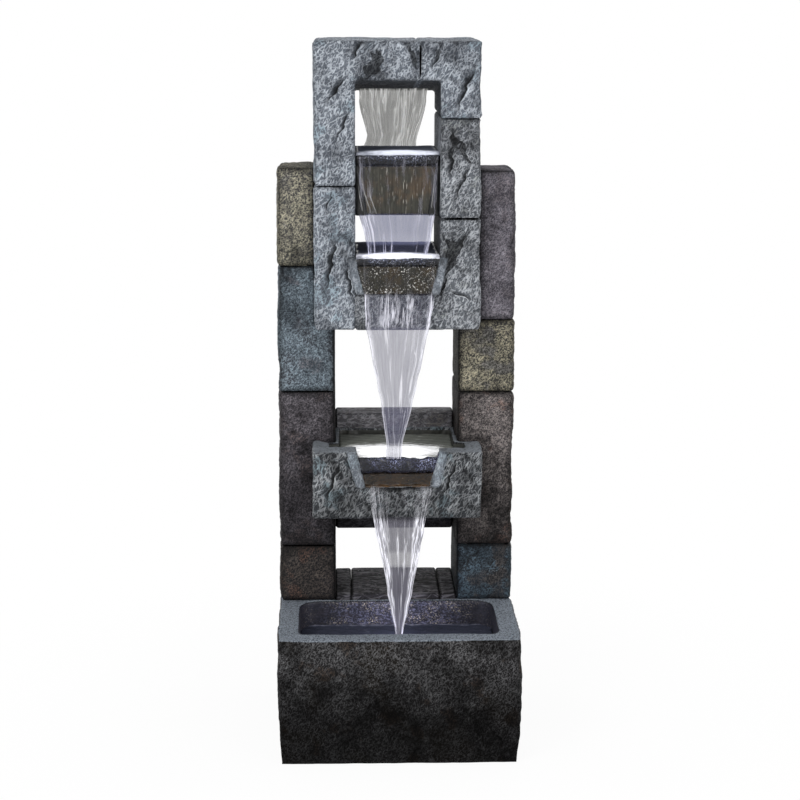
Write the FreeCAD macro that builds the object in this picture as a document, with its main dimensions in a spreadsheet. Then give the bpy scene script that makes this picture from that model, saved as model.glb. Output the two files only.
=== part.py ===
"""Cascading stacked-stone fountain: cast basin, two columns of hollow blocks, a deep stone frame
with two bowls, a tray, and the pump, riser hose and lamps that they hold. Sizes in millimetres.

+X is the viewer's right, +Y runs to the back and +Z up. The origin is at the middle of the footprint,
on the floor. A level is a height above the floor, and a face is a Y position.
"""

import FreeCAD, Part
import math
import os
import re

import Sketcher

Vector = FreeCAD.Vector
TOUCH = 0.01  # places nearer than this are the same

SIZES = [
    # overall
    ("depth", 336, "depth of the whole fountain"),
    ("wall", 5, "wall of the hollow blocks"),
    ("worn_edge", 3, "worn edge of the blocks"),
    # basin
    ("basin_height", 183, "height of the basin, up to its rim"),
    ("basin_bulge", 6, "how far the front face swells beyond the rim"),
    ("foot_inset", 3, "how far the foot draws in all round"),
    ("bulge_level", 105, "level at which the front swells most"),
    ("basin_corner", 12, "corner radius of the basin seen from above"),
    ("rim_width", 29, "width of the rim at the front and the sides"),
    ("rim_edge", 3, "worn edge of the rim"),
    ("floor_level", 30, "floor of the basin and of the pump chamber"),
    ("floor_thickness", 8, "thickness of the basin floor"),
    ("seat_drop", 22, "how far the ledge for the sill stones lies below the rim"),
    ("sill_lip", 5, "thickness of the lip in front of the sill stones"),
    ("partition", 12, "wall between basin and pump chamber, and rear wall"),
    ("chamber_wall", 14, "side walls of the pump chamber"),
    ("trough_corner", 12, "front corner radius inside the basin"),
    ("rear_corner", 28, "rear corner radius inside the basin"),
    ("skin", 8, "wall round the hollow underside, and of the rear beam"),
    ("inlet_count", 8, "water inlets through the partition"),
    ("inlet_width", 4, "width of a water inlet"),
    ("inlet_height", 34, "height of a water inlet"),
    ("inlet_rise", 7, "how far the water inlets start above the floor"),
    ("inlet_pitch", 13, "distance between water inlets"),
    # columns
    ("column_depth", 144, "depth of the columns"),
    ("column_width", 81, "width of a column"),
    ("column_lap", 28, "how far the frame laps over each column"),
    ("left_d_height", 84, "height of the left column's lowest block"),
    ("left_b_below", 98, "how far left block b reaches down beside the opening"),
    ("left_b_above", 85, "how far left block b reaches up beside the frame"),
    ("left_a_height", 140, "height of the left column's top block"),
    ("right_d_height", 85, "height of the right column's lowest block"),
    ("right_c_height", 229, "height of the right column's tall block"),
    ("right_b_height", 99, "height of the right block under the frame"),
    ("right_b_above", 7, "how far right block b reaches up beside the frame"),
    ("right_a_height", 214, "height of the right column's top block"),
    ("sill_height", 31, "height of the sill stones"),
    ("sill_side", 23, "width of the sill stones beside the lid"),
    ("sill_edge", 2, "worn edge of the sill stones"),
    ("lid_clearance", 1.2, "gap on each side of the lift-out pump lid"),
    ("beam_depth", 48, "depth of the rear beam"),
    ("beam_below", 58, "how far the rear beam reaches below the tray"),
    ("beam_above", 22, "how far the rear beam reaches above the tray's rim"),
    # frame
    ("frame_half", 117, "half the width of the frame"),
    ("frame_depth", 194, "depth of the frame"),
    ("jamb_width", 57, "width of a jamb"),
    ("cill_height", 52, "height of the bottom stone between the jambs"),
    ("frame_low_height", 158, "height of the bottom stone's jamb"),
    ("frame_right_height", 139, "height of the right jamb stone"),
    ("frame_corner_height", 107, "height of the top right stone"),
    ("frame_left_height", 203, "height of the left jamb stone"),
    ("lintel_height", 54, "height of the lintel at the front"),
    ("lintel_drop", 24, "how far the lintel's underside slopes down to the back"),
    ("lintel_joint", 31, "upright joint in the lintel"),
    # bowls and tray
    ("bowl_wall", 6, "wall of the bowls, of the tray and of the top trough"),
    ("bowl_setback", 10, "rear faces of bowls and top trough, before the back of the frame"),
    ("back_rise", 2, "how far a bowl's rear rim stands above its lip"),
    ("upper_setback", 19, "upper bowl's panel behind the frame's face"),
    ("upper_depth", 87, "height of the upper bowl up to its lip"),
    ("upper_nose", 17, "height of the upper bowl's rounded nose"),
    ("bowl_gap", 56, "clear height between the middle bowl's lip and the upper bowl"),
    ("middle_depth", 53, "height of the middle bowl up to its lip"),
    ("middle_nose", 13, "height of the middle bowl's rounded nose"),
    ("nose_reach", 9, "how far a rounded nose stands out of its panel"),
    ("cheek_width", 12, "width of a slanting cheek beside a spout"),
    ("cheek_lean", 13, "how far a cheek leans in towards its foot"),
    ("cheek_reach", 7, "how far a cheek stands out of the face around it"),
    ("upper_cheek", 4, "width of the upper bowl's cheek at its top"),
    ("tray_reach", 66, "how far the tray stands out before the columns"),
    ("tray_overhang", 3, "how far the tray reaches beyond the frame on each side"),
    ("tray_rise", 133, "clear height between the sill and the tray"),
    ("tray_height", 99, "height of the tray up to its rim"),
    ("tray_dip", 10, "how far the tray's lip lies below its rim"),
    ("tray_nose", 22, "height of the tray's rounded nose"),
    ("tray_notch", 51, "height of the notch in the tray's front"),
    ("tray_floor", 22, "floor of the tray above its underside"),
    ("tray_side", 22, "thickness of the tray's sides"),
    ("tray_face", 26, "thickness of the tray's front"),
    ("notch_depth", 8, "depth of the notch in the tray's front"),
    # top trough
    ("trough_setback", 62, "top trough's front behind the frame's face"),
    ("trough_headroom", 10, "clear height above the top trough"),
    ("slot_margin", 10, "water slot's end to the side of the opening"),
    ("slot_width", 5, "width of the water slot"),
    ("slot_setback", 26, "water slot before the rear face of the top trough"),
    # riser hose
    ("hose_radius", 6.5, "outer radius of the riser hose"),
    ("hose_bore", 5, "inner radius of the riser hose"),
    ("hose_bend", 27, "bend radius where the hose turns into the trough"),
    ("hose_above_floor", 4, "gap between the hose's mouth and the trough's floor"),
    ("hose_fit", 0.4, "clearance of the hose in its hole"),
    ("hose_seat", 1, "gap between the hose's end and the volute"),
    ("mouth_reach", 4, "how far the hose reaches into the trough"),
    ("clip_height", 8, "height of a hose clip"),
    ("clip_setback", 4, "hose clip above the hose's end"),
    ("clip_thickness", 1.2, "thickness of a hose clip"),
    # pump
    ("pump_half", 24, "half the width and height of the motor housing"),
    ("motor_length", 54, "length of the motor housing"),
    ("volute_length", 20, "length of the volute"),
    ("volute_radius", 21, "outer radius of the volute"),
    ("volute_bore", 17, "inner radius of the volute"),
    ("volute_back", 3, "rear wall of the volute"),
    ("pump_round", 6, "edge radius of the motor housing"),
    ("rotor_radius", 9.5, "radius of the magnet rotor"),
    ("rotor_length", 44, "length of the magnet rotor"),
    ("rotor_gap", 0.8, "running gap round the rotor"),
    ("end_gap", 0.5, "gap at each end of the impeller"),
    ("shaft_radius", 1.5, "radius of the pump's shaft"),
    ("shaft_fit", 0.05, "radial running clearance of the shaft"),
    ("bush_length", 4, "length of a shaft bush"),
    ("bush_radius", 3, "outer radius of a shaft bush"),
    ("hub_radius", 4, "radius of the impeller's hub"),
    ("blade_count", 6, "blades of the impeller"),
    ("blade_radius", 14.5, "outer radius of the blades"),
    ("blade_length", 9, "length of the blades along the shaft"),
    ("blade_thickness", 1.6, "thickness of a blade"),
    ("nozzle_length", 18, "length of the pump's outlet nozzle"),
    ("nozzle_bore", 3.6, "inner radius of the pump's outlet nozzle"),
    ("nozzle_fit", 0.05, "clearance of the hose on the nozzle"),
    ("cover_length", 12, "length of the intake cover"),
    ("cover_wall", 2.4, "wall of the intake cover"),
    ("intake_count", 6, "intake windows in the cover's end"),
    ("intake_inner", 7.5, "intake windows start at this radius"),
    ("intake_length", 6, "length of an intake window along the radius"),
    ("intake_width", 4, "width of an intake window"),
    ("dial_radius", 15, "radius of the flow dial"),
    ("dial_thickness", 3, "thickness of the flow dial"),
    ("dial_pin", 2.5, "radius of the flow dial's pin"),
    ("dial_gap", 0.3, "gap between the flow dial and the intake cover"),
    ("dial_fit", 0.06, "radial running clearance of the flow dial's pin"),
    ("foot_height", 8, "height of a suction foot"),
    ("foot_radius", 6, "radius of a suction foot"),
    ("foot_spread", 17, "distance of the suction feet from the pump's middle"),
    # lamps
    ("lamp_radius", 18, "radius of a lamp"),
    ("lamp_height", 14, "height of a lamp's housing"),
    ("lens_radius", 15, "radius of a lamp's lens"),
    ("lens_seat", 3, "depth of the lens's seat in the housing"),
    ("lens_height", 5, "height of a lamp's lens"),
    ("lead_radius", 2, "radius of a lamp lead"),
    ("lead_bend", 8, "bend radius of a lamp lead"),
    ("lead_rise", 7, "level of a lead above the floor that its lamp stands on"),
    ("lead_entry", 6, "how far a lead reaches into its lamp"),
    ("grommet_radius", 4, "outer radius of a grommet's neck"),
    ("grommet_flange", 6, "outer radius of a grommet's flange"),
    ("flange_thickness", 1.5, "thickness of a grommet's flange"),
    ("lead_margin", 6, "first lead behind the partition's rear face"),
    ("lead_pitch", 8, "distance between neighbouring leads"),
    ("lamp_setback", 44, "basin's lamp before the columns"),
    ("splitter_drop", 35, "top of the lead splitter below the ledge"),
    ("splitter_height", 26, "height of the lead splitter"),
    ("splitter_half", 12, "half the width of the lead splitter"),
    ("splitter_depth", 28, "depth of the lead splitter"),
    ("gland_offset", 60, "cable gland's distance to the left of the middle"),
    ("gland_drop", 14, "middle of the cable gland below the ledge"),
    ("gland_neck", 7, "outer radius of the cable gland's neck"),
    ("gland_bore", 4, "inner radius of the cable gland"),
    ("gland_flange", 11, "outer radius of the cable gland's flange"),
]

# Levels, faces and half widths that follow from the sizes.
TIED = {
    # faces, as Y positions
    "back_face": "depth / 2",
    "basin_front": "basin_bulge - depth / 2",
    "column_front": "back_face - column_depth",
    "frame_front": "back_face - frame_depth",
    "beam_front": "back_face - beam_depth",
    "bowl_back": "back_face - bowl_setback",
    "upper_front": "frame_front + upper_setback",
    "tray_front": "column_front - tray_reach",
    "trough_front": "frame_front + trough_setback",
    "slot_line": "bowl_back - slot_setback",
    "chamber_front": "column_front + partition",
    "first_lead": "chamber_front + lead_margin",
    "basin_lamp": "column_front - lamp_setback",
    # half widths and X positions
    "jamb_half": "frame_half - jamb_width",
    "gap_half": "frame_half - column_lap",
    "half_width": "gap_half + column_width",
    "sill_joint": "gap_half - sill_side",
    "tray_half": "frame_half + tray_overhang",
    "slot_half": "jamb_half - slot_margin",
    "hose_x": "frame_half - column_lap / 2",
    "hose_y": "back_face - column_depth / 2",
    # levels from the floor up
    "seat_level": "basin_height - seat_drop",
    "sill_top": "seat_level + sill_height",
    "left_joint_a": "basin_height + left_d_height",
    "right_joint_a": "basin_height + right_d_height",
    "right_joint_b": "right_joint_a + right_c_height",
    "frame_bottom": "right_joint_b + right_b_height",
    "left_joint_b": "frame_bottom - left_b_below",
    "left_joint_c": "frame_bottom + left_b_above",
    "left_top": "left_joint_c + left_a_height",
    "right_joint_c": "frame_bottom + right_b_above",
    "right_top": "right_joint_c + right_a_height",
    "tray_bottom": "sill_top + tray_rise",
    "tray_rim": "tray_bottom + tray_height",
    "tray_lip": "tray_rim - tray_dip",
    "notch_foot": "tray_rim - tray_notch",
    "pool_floor": "tray_bottom + tray_floor",
    "beam_bottom": "tray_bottom - beam_below",
    "beam_top": "tray_rim + beam_above",
    "cill_level": "frame_bottom + cill_height",
    "middle_lip": "cill_level + middle_depth",
    "upper_bottom": "middle_lip + bowl_gap",
    "upper_lip": "upper_bottom + upper_depth",
    "frame_joint_low": "frame_bottom + frame_low_height",
    "frame_joint_high": "frame_joint_low + frame_right_height",
    "frame_joint_left": "frame_bottom + frame_left_height",
    "frame_top": "frame_joint_high + frame_corner_height",
    "lintel_level": "frame_top - lintel_height",
    "lintel_foot": "lintel_level - lintel_drop",
    "trough_low": "lintel_level + wall",
    "trough_top": "frame_top - wall - trough_headroom",
    "hose_mouth": "trough_low + bowl_wall + hose_above_floor + hose_radius",
    "hose_low": "pump_axis + volute_radius + hose_seat",
    "pump_axis": "floor_level + foot_height + pump_half",
    "lens_level": "lamp_height - lens_seat",
    "splitter_level": "seat_level - splitter_drop - splitter_height",
    "gland_level": "seat_level - gland_drop",
}

PLANES = {"front": "XZ_Plane", "top": "XY_Plane", "side": "YZ_Plane"}
ALIASES = {alias for alias, _, _ in SIZES}
BULGE_STEPS = 3  # facets of the basin's front below its fullest line, and above it
CORD_SIDES = 12  # sides of the hose and of the leads
BEND_STEPS = 4  # straight pieces in a bend of the hose or of a lead

document = FreeCAD.newDocument("stone_fountain")
sheet = document.addObject("Spreadsheet::Sheet", "Sizes")
subparts = []


# ---------------------------------------------------------------- sizes and expressions


def fill_sheet():
    """Puts every driving size in the sheet, with its alias and what it is."""
    for row, (alias, number, meaning) in enumerate(SIZES, start=1):
        sheet.set(f"A{row}", alias)
        sheet.set(f"B{row}", str(number))
        sheet.setAlias(f"B{row}", alias)
        sheet.set(f"C{row}", meaning)
    document.recompute()


def spell(text, prefix=""):
    """The expression with every tied place spelled out in sizes, each with the prefix."""

    def word(match):
        name = match.group()
        if name in TIED:
            return "(" + spell(TIED[name], prefix) + ")"
        return prefix + name if name in ALIASES else name

    return re.sub("[a-z_]+", word, text)


def value(text):
    """The number that an expression gives."""
    return float(sheet.evalExpression(spell(text)))


def linked(text):
    """The expression as another object of the document writes it."""
    return spell(text, "Sizes.")


def mirrored(sign, text):
    """An X position on the left (sign "-") or on the right (sign "")."""
    return f"{sign}({text})"


# ---------------------------------------------------------------- sketches and features


def new_body(label):
    """A body that becomes one sub-part."""
    body = document.addObject("PartDesign::Body", label)
    body.Label = label
    subparts.append(body)
    return body


def place(thing, x="0", y="0", z="0"):
    """Ties a sub-part's position to the sheet."""
    for axis, text in (("x", x), ("y", y), ("z", z)):
        thing.setExpression(f"Placement.Base.{axis}", linked(text))


def new_sketch(body, plane, level):
    """A sketch on one of the body's own planes, moved along the plane's normal.

    The front plane's normal is -Y, so its level is minus the face's Y position.
    """
    sketch = body.newObject("Sketcher::SketchObject", "Sketch")
    features = body.Origin.OriginFeatures
    sketch.AttachmentSupport = [(next(f for f in features if f.Role == PLANES[plane]), "")]
    sketch.MapMode = "FlatFace"
    sketch.setExpression("AttachmentOffset.Base.z", linked(level))
    return sketch


def tie(sketch, kind, geometry, point, text):
    """Ties one coordinate of a point to the sheet."""
    constraint = Sketcher.Constraint(kind, -1, 1, geometry, point, value(text))
    index = sketch.addConstraint(constraint)
    sketch.setExpression(f"Constraints[{index}]", linked(text))


def draw_polygon(sketch, corners):
    """A closed outline whose every corner is tied to the sheet."""
    first = sketch.GeometryCount
    count = len(corners)
    points = [Vector(value(u), value(v), 0) for u, v in corners]
    lines = [Part.LineSegment(points[k], points[(k + 1) % count]) for k in range(count)]
    sketch.addGeometry(lines)
    for k in range(count):
        following = first + (k + 1) % count
        sketch.addConstraint(Sketcher.Constraint("Coincident", first + k, 2, following, 1))
    for k, (u, v) in enumerate(corners):
        tie(sketch, "DistanceX", first + k, 1, u)
        tie(sketch, "DistanceY", first + k, 1, v)


def draw_circle(sketch, u, v, radius):
    """A circle whose centre and radius are tied to the sheet."""
    number = sketch.GeometryCount
    centre = Vector(value(u), value(v), 0)
    sketch.addGeometry(Part.Circle(centre, Vector(0, 0, 1), value(radius)))
    tie(sketch, "DistanceX", number, 3, u)
    tie(sketch, "DistanceY", number, 3, v)
    index = sketch.addConstraint(Sketcher.Constraint("Radius", number, value(radius)))
    sketch.setExpression(f"Constraints[{index}]", linked(radius))


def draw(body, plane, level, shapes):
    """A sketch of outlines: a list of corners, (u, v, radius) or (left, low, right, high)."""
    sketch = new_sketch(body, plane, level)
    for shape in shapes:
        if isinstance(shape, list):
            draw_polygon(sketch, shape)
        elif len(shape) == 3:
            draw_circle(sketch, *shape)
        else:
            left, low, right, high = shape
            draw_polygon(sketch, [(left, low), (right, low), (right, high), (left, high)])
    return sketch


def pad(body, plane, level, shapes, length):
    """Adds material along the plane's normal."""
    feature = body.newObject("PartDesign::Pad", "Pad")
    feature.Profile = draw(body, plane, level, shapes)
    feature.setExpression("Length", linked(length))
    body.Tip = feature
    document.recompute()
    return feature


def cut(body, plane, level, shapes, length, upwards=False):
    """Removes material against the plane's normal, or along it if upwards."""
    before = body.Shape.Volume
    feature = body.newObject("PartDesign::Pocket", "Pocket")
    feature.Profile = draw(body, plane, level, shapes)
    feature.setExpression("Length", linked(length))
    feature.Reversed = upwards
    body.Tip = feature
    document.recompute()
    if not body.Shape.Volume < before:
        raise RuntimeError(f"{body.Label}: a pocket on the {plane} plane cuts nothing")
    return feature


def revolve(body, corners):
    """A turned solid about the body's Z axis, from its profile as (radius, height)."""
    feature = body.newObject("PartDesign::Revolution", "Revolution")
    sketch = draw(body, "front", "0", [corners])
    feature.Profile = sketch
    feature.ReferenceAxis = (sketch, ["V_Axis"])
    feature.Angle = 360
    body.Tip = feature
    document.recompute()


def soften(body, kind, size, wanted=None):
    """Fillets or chamfers all edges of the body's last feature, or those that wanted picks."""
    base = body.Tip
    feature = body.newObject(f"PartDesign::{kind}", kind)
    if wanted is None:
        feature.Base = (base, [""])
        feature.UseAllEdges = True
    else:
        edges = enumerate(base.Shape.Edges, start=1)
        feature.Base = (base, [f"Edge{k}" for k, edge in edges if wanted(edge)])
    feature.setExpression("Radius" if kind == "Fillet" else "Size", linked(size))
    body.Tip = feature
    document.recompute()


def row(body, feature, direction, length, count):
    """Repeats a feature in a row along one of its sketch's axes."""
    pattern = body.newObject("PartDesign::LinearPattern", "LinearPattern")
    pattern.Originals = [feature]
    pattern.Direction = (feature.Profile[0], [direction])
    pattern.setExpression("Length", linked(length))
    pattern.setExpression("Occurrences", linked(count))
    body.Tip = pattern
    document.recompute()


def ring(body, feature, count):
    """Repeats a feature round the body's Z axis."""
    pattern = body.newObject("PartDesign::PolarPattern", "PolarPattern")
    pattern.Originals = [feature]
    axis = next(f for f in body.Origin.OriginFeatures if f.Role == "Z_Axis")
    pattern.Axis = (axis, [""])
    pattern.Angle = 360
    pattern.setExpression("Occurrences", linked(count))
    body.Tip = pattern
    document.recompute()


def convex_only(outline):
    """Picks every edge of a block but those along its inward corners."""
    points = [(value(u), value(v)) for u, v in outline]
    count = len(points)
    turns, area = [], 0
    for k in range(count):
        (a, b), (c, d), (e, f) = points[k - 1], points[k], points[(k + 1) % count]
        turns.append((c - a) * (f - d) - (d - b) * (e - c))
        area += a * d - b * c
    inward = [point for point, turn in zip(points, turns) if turn * area < 0]

    def wanted(edge):
        box = edge.BoundBox
        return not any(
            abs(box.XMin - u) + abs(box.XMax - u) + abs(box.ZMin - v) + abs(box.ZMax - v) < TOUCH
            for u, v in inward
        )

    return wanted


def upright(edge):
    """True for an edge that runs mainly up."""
    box = edge.BoundBox
    return box.ZLength > 4 * (box.XLength + box.YLength)


def at_level(level):
    """Picks the edges that lie at a level."""
    return lambda edge: abs(edge.BoundBox.ZMin - level) < TOUCH and edge.BoundBox.ZLength < TOUCH


# ---------------------------------------------------------------- basin, columns and sill


def front_curve():
    """The basin's front as (Y position, level) points: out to the fullest line and back in."""
    fullest, points = "basin_front - basin_bulge", []
    for k in range(BULGE_STEPS + 1):
        share = f"({k} / {BULGE_STEPS})"
        points.append((f"{fullest} + (basin_bulge + foot_inset) * (1 - {share})^2",
                       f"bulge_level * {share}"))
    for k in range(1, BULGE_STEPS + 1):
        share = f"({k} / {BULGE_STEPS})"
        points.append((f"{fullest} + basin_bulge * {share}^2",
                       f"bulge_level + (basin_height - bulge_level) * {share}"))
    return points


def make_basin():
    """The cast basin with the pump chamber behind it, open below."""
    body = new_body("basin")
    fullest = "basin_front - basin_bulge"
    block = ("-half_width", fullest, "half_width", "back_face")
    pad(body, "top", "0", [block], "basin_height")
    soften(body, "Fillet", "basin_corner", upright)
    outside = [(f"{fullest} - 1", "basin_height + 1"), (f"{fullest} - 1", "-1")]
    curve = front_curve()
    before = [(curve[0][0], "-1")] + curve + [(curve[-1][0], "basin_height + 1")]
    cut(body, "side", "half_width", [before + outside], "2 * half_width")
    wedges = []
    for sign in ("-", ""):
        outer = mirrored(sign, "half_width + 1")
        wedges.append([(mirrored(sign, "half_width - foot_inset"), "0"), (outer, "0"),
                       (outer, "bulge_level"), (mirrored(sign, "half_width"), "bulge_level")])
    cut(body, "front", "depth", wedges, "2 * depth")
    soften(body, "Fillet", "rim_edge", at_level(value("basin_height")))

    inner = "half_width - rim_width"
    trough = (f"-({inner})", "basin_front + rim_width", inner, "column_front")
    cut(body, "top", "basin_height + 1", [trough], "basin_height - floor_level + 1")

    def corner_at(face):
        return lambda edge: upright(edge) and edge.BoundBox.YLength < TOUCH and (
            abs(abs(edge.BoundBox.XMin) - value(inner)) < TOUCH
            and abs(edge.BoundBox.YMin - value(face)) < TOUCH)

    soften(body, "Fillet", "trough_corner", corner_at("basin_front + rim_width"))
    soften(body, "Fillet", "rear_corner", corner_at("column_front"))
    side = "half_width - chamber_wall"
    chamber = (f"-({side})", "chamber_front", side, "back_face - partition")
    cut(body, "top", "basin_height + 1", [chamber], "basin_height - floor_level + 1")
    seat = ("-gap_half", "column_front + sill_lip", "gap_half", "back_face + 1")
    cut(body, "top", "basin_height + 1", [seat], "seat_drop + 1")
    side = "half_width - foot_inset - skin"
    recess = (f"-({side})", "basin_front + foot_inset + skin", side, "back_face - skin")
    cut(body, "top", "0", [recess], "floor_level - floor_thickness", upwards=True)

    first = "-inlet_pitch * (inlet_count - 1) / 2"
    low = "floor_level + inlet_rise"
    inlet = (f"{first} - inlet_width / 2", low, f"{first} + inlet_width / 2",
             f"{low} + inlet_height")
    slot = cut(body, "front", "-column_front", [inlet], "partition")
    row(body, slot, "H_Axis", "inlet_pitch * (inlet_count - 1)", "inlet_count")
    lead = ("-hose_x", "floor_level + lead_rise", "grommet_radius")
    cut(body, "front", "-column_front", [lead], "partition")
    gland = ("-gland_offset", "gland_level", "gland_neck")
    cut(body, "front", "-(back_face - partition)", [gland], "partition")


def hollow_block(label, front, outline, hollows, openings=()):
    """A block from its front outline, hollowed by pockets that run up or down.

    A hollow is (left, right, level, length, upwards), and runs from the level through the block.
    """
    body = new_body(label)
    pad(body, "front", "-back_face", [outline], f"back_face - ({front})")
    soften(body, "Chamfer", "worn_edge", convex_only(outline))
    for left, right, level, length, upwards in hollows:
        pocket = (left, f"{front} + wall", right, "back_face - wall")
        cut(body, "top", level, [pocket], length, upwards)
    for opening in openings:
        cut(body, *opening)


def lead_hole(face, y, level):
    """A round hole for a lamp lead through the left inner wall whose face is at X = -face."""
    return ("side", f"-({face})", [(y, level, "grommet_radius")], "wall")


def column_block(label, sign, low, high, width="column_width", closed=False, openings=()):
    """One plain block of a column, open below and, unless closed, above."""
    inner, outer = f"half_width - {width}", "half_width"
    ends = [mirrored(sign, outer), mirrored(sign, inner)]
    left, right = ends if sign else ends[::-1]
    outline = [(left, low), (right, low), (right, high), (left, high)]
    length = f"{high} - {low}" + (" - wall" if closed else "")
    hollow = (f"{left} + wall", f"{right} - wall", low, length, True)
    hollow_block(label, "column_front", outline, [hollow], openings)


def notched_block(label, sign, low, high):
    """A block that fills its column under the frame and reaches up beside the frame."""
    outer, gap, beside = (mirrored(sign, x) for x in ("half_width", "gap_half", "frame_half"))
    outline = [(outer, low), (gap, low), (gap, "frame_bottom"), (beside, "frame_bottom"),
               (beside, high), (outer, high)]
    if sign:
        spans = [(f"{outer} + wall", f"{edge} - wall") for edge in (gap, beside)]
    else:
        outline.reverse()
        spans = [(f"{edge} + wall", f"{outer} - wall") for edge in (gap, beside)]
    lower = (*spans[0], low, f"frame_bottom - {low}", True)
    upper = (*spans[1], high, f"{high} - {low}", False)
    hollow_block(label, "column_front", outline, [lower, upper])


def make_columns():
    """The blocks of both columns, from the ledge of the basin up."""
    beside = "column_width - column_lap"
    column_block("left_block_d", "-", "basin_height", "left_joint_a")
    tray_lead = lead_hole("gap_half", "first_lead + 2 * lead_pitch", "pool_floor + lead_rise")
    column_block("left_block_c", "-", "left_joint_a", "left_joint_b", openings=[tray_lead])
    column_block("left_block_a", "-", "left_joint_c", "left_top", f"({beside})", closed=True)
    column_block("right_block_d", "", "basin_height", "right_joint_a")
    column_block("right_block_c", "", "right_joint_a", "right_joint_b")
    column_block("right_block_a", "", "right_joint_c", "right_top", f"({beside})", closed=True)
    notched_block("left_block_b", "-", "left_joint_b", "left_joint_c")
    notched_block("right_block_b", "", "right_joint_b", "right_joint_c")


def make_sill():
    """Two fixed sill stones, the lift-out lid between them and the beam behind the tray."""
    length = "column_depth - sill_lip"
    spans = (("sill_left", "-gap_half", "-sill_joint", length),
             ("pump_lid", "-sill_joint + lid_clearance", "sill_joint - lid_clearance",
              f"{length} - lid_clearance"),
             ("sill_right", "sill_joint", "gap_half", length))
    for label, left, right, reach in spans:
        body = new_body(label)
        stone = (left, "seat_level", right, "sill_top")
        pad(body, "front", "-back_face", [stone], reach)
        soften(body, "Chamfer", "sill_edge")

    body = new_body("rear_beam")
    beam = ("-gap_half", "beam_bottom", "gap_half", "beam_top")
    pad(body, "front", "-back_face", [beam], "beam_depth")
    soften(body, "Chamfer", "worn_edge")
    hollow = ("-gap_half + skin", "beam_front + skin", "gap_half - skin", "back_face - skin")
    cut(body, "top", "beam_bottom", [hollow], "beam_top - beam_bottom - skin", upwards=True)


# ---------------------------------------------------------------- frame stones


def make_frame():
    """The five stones of the deep frame, hollow for the hose, the leads and the trough."""
    left = ("-frame_half + wall", "-jamb_half - wall")
    right = ("jamb_half + wall", "frame_half - wall")
    depth = ("frame_front + wall", "back_face - wall")
    slope = [("frame_front - 1", "lintel_foot"), ("back_face", "lintel_foot"),
             ("frame_front", "lintel_level"), ("frame_front - 1", "lintel_level")]
    inside = (depth[0], "lintel_level + wall", depth[1], "frame_top - wall")
    slot = ("slot_line - slot_width / 2", "slot_line + slot_width / 2")

    corner = [
        ("-frame_half", "frame_joint_left"), ("-jamb_half", "frame_joint_left"),
        ("-jamb_half", "lintel_foot"), ("lintel_joint", "lintel_foot"),
        ("lintel_joint", "frame_top"), ("-frame_half", "frame_top"),
    ]
    hollow_block(
        "frame_stone_top_left", "frame_front", corner,
        [left + ("frame_joint_left", "frame_top - wall - frame_joint_left", True)],
        [("side", "lintel_joint", [slope], "lintel_joint + jamb_half"),
         ("side", "lintel_joint", [inside], "lintel_joint + jamb_half + 2 * wall"),
         ("top", "lintel_foot", [("-slot_half", slot[0], "lintel_joint", slot[1])],
          "lintel_drop + wall", True)],
    )
    corner = [
        ("lintel_joint", "lintel_foot"), ("jamb_half", "lintel_foot"),
        ("jamb_half", "frame_joint_high"), ("frame_half", "frame_joint_high"),
        ("frame_half", "frame_top"), ("lintel_joint", "frame_top"),
    ]
    hollow_block(
        "frame_stone_top_right", "frame_front", corner,
        [right + ("frame_joint_high", "frame_top - wall - frame_joint_high", True)],
        [("side", "jamb_half", [slope], "jamb_half - lintel_joint"),
         ("side", "lintel_joint", [inside], "jamb_half + 2 * wall - lintel_joint", True),
         ("top", "lintel_foot", [("lintel_joint", slot[0], "slot_half", slot[1])],
          "lintel_drop + wall", True)],
    )
    jamb = [
        ("jamb_half", "frame_joint_low"), ("frame_half", "frame_joint_low"),
        ("frame_half", "frame_joint_high"), ("jamb_half", "frame_joint_high"),
    ]
    through = right + ("frame_joint_low", "frame_right_height", True)
    hollow_block("frame_stone_right", "frame_front", jamb, [through])

    jamb = [
        ("-frame_half", "frame_bottom"), ("-jamb_half", "frame_bottom"),
        ("-jamb_half", "frame_joint_left"), ("-frame_half", "frame_joint_left"),
    ]
    through = left + ("frame_bottom", "frame_left_height", True)
    holes = [
        lead_hole("jamb_half", "first_lead", "upper_bottom + bowl_wall + lead_rise"),
        lead_hole("jamb_half", "first_lead + lead_pitch", "cill_level + bowl_wall + lead_rise"),
    ]
    hollow_block("frame_stone_left", "frame_front", jamb, [through], holes)

    corner = [
        ("-jamb_half", "frame_bottom"), ("frame_half", "frame_bottom"),
        ("frame_half", "frame_joint_low"), ("jamb_half", "frame_joint_low"),
        ("jamb_half", "cill_level"), ("-jamb_half", "cill_level"),
    ]
    cill = (depth[0], "frame_bottom + wall", depth[1], "cill_level - wall")
    hollow_block(
        "frame_stone_bottom", "frame_front", corner,
        [right + ("frame_bottom", "frame_low_height", True)],
        [("side", "jamb_half + 2 * wall", [cill], "2 * jamb_half + wall")],
    )


# ---------------------------------------------------------------- bowls, tray and top trough


def add_nose(body, panel, lip, height, half):
    """A rounded nose that the water runs over, on the front of a bowl."""
    section = (f"{panel} - nose_reach", f"{lip} - {height}", f"{panel} + bowl_wall", lip)
    pad(body, "side", f"-({half})", [section], f"2 * ({half})")
    front = value(f"{panel} - nose_reach")

    def along_front(edge):
        box = edge.BoundBox
        return box.YMax < front + TOUCH and box.XLength > value(half)

    soften(body, "Fillet", f"min(nose_reach; {height} / 2) * 0.9", along_front)


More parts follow.
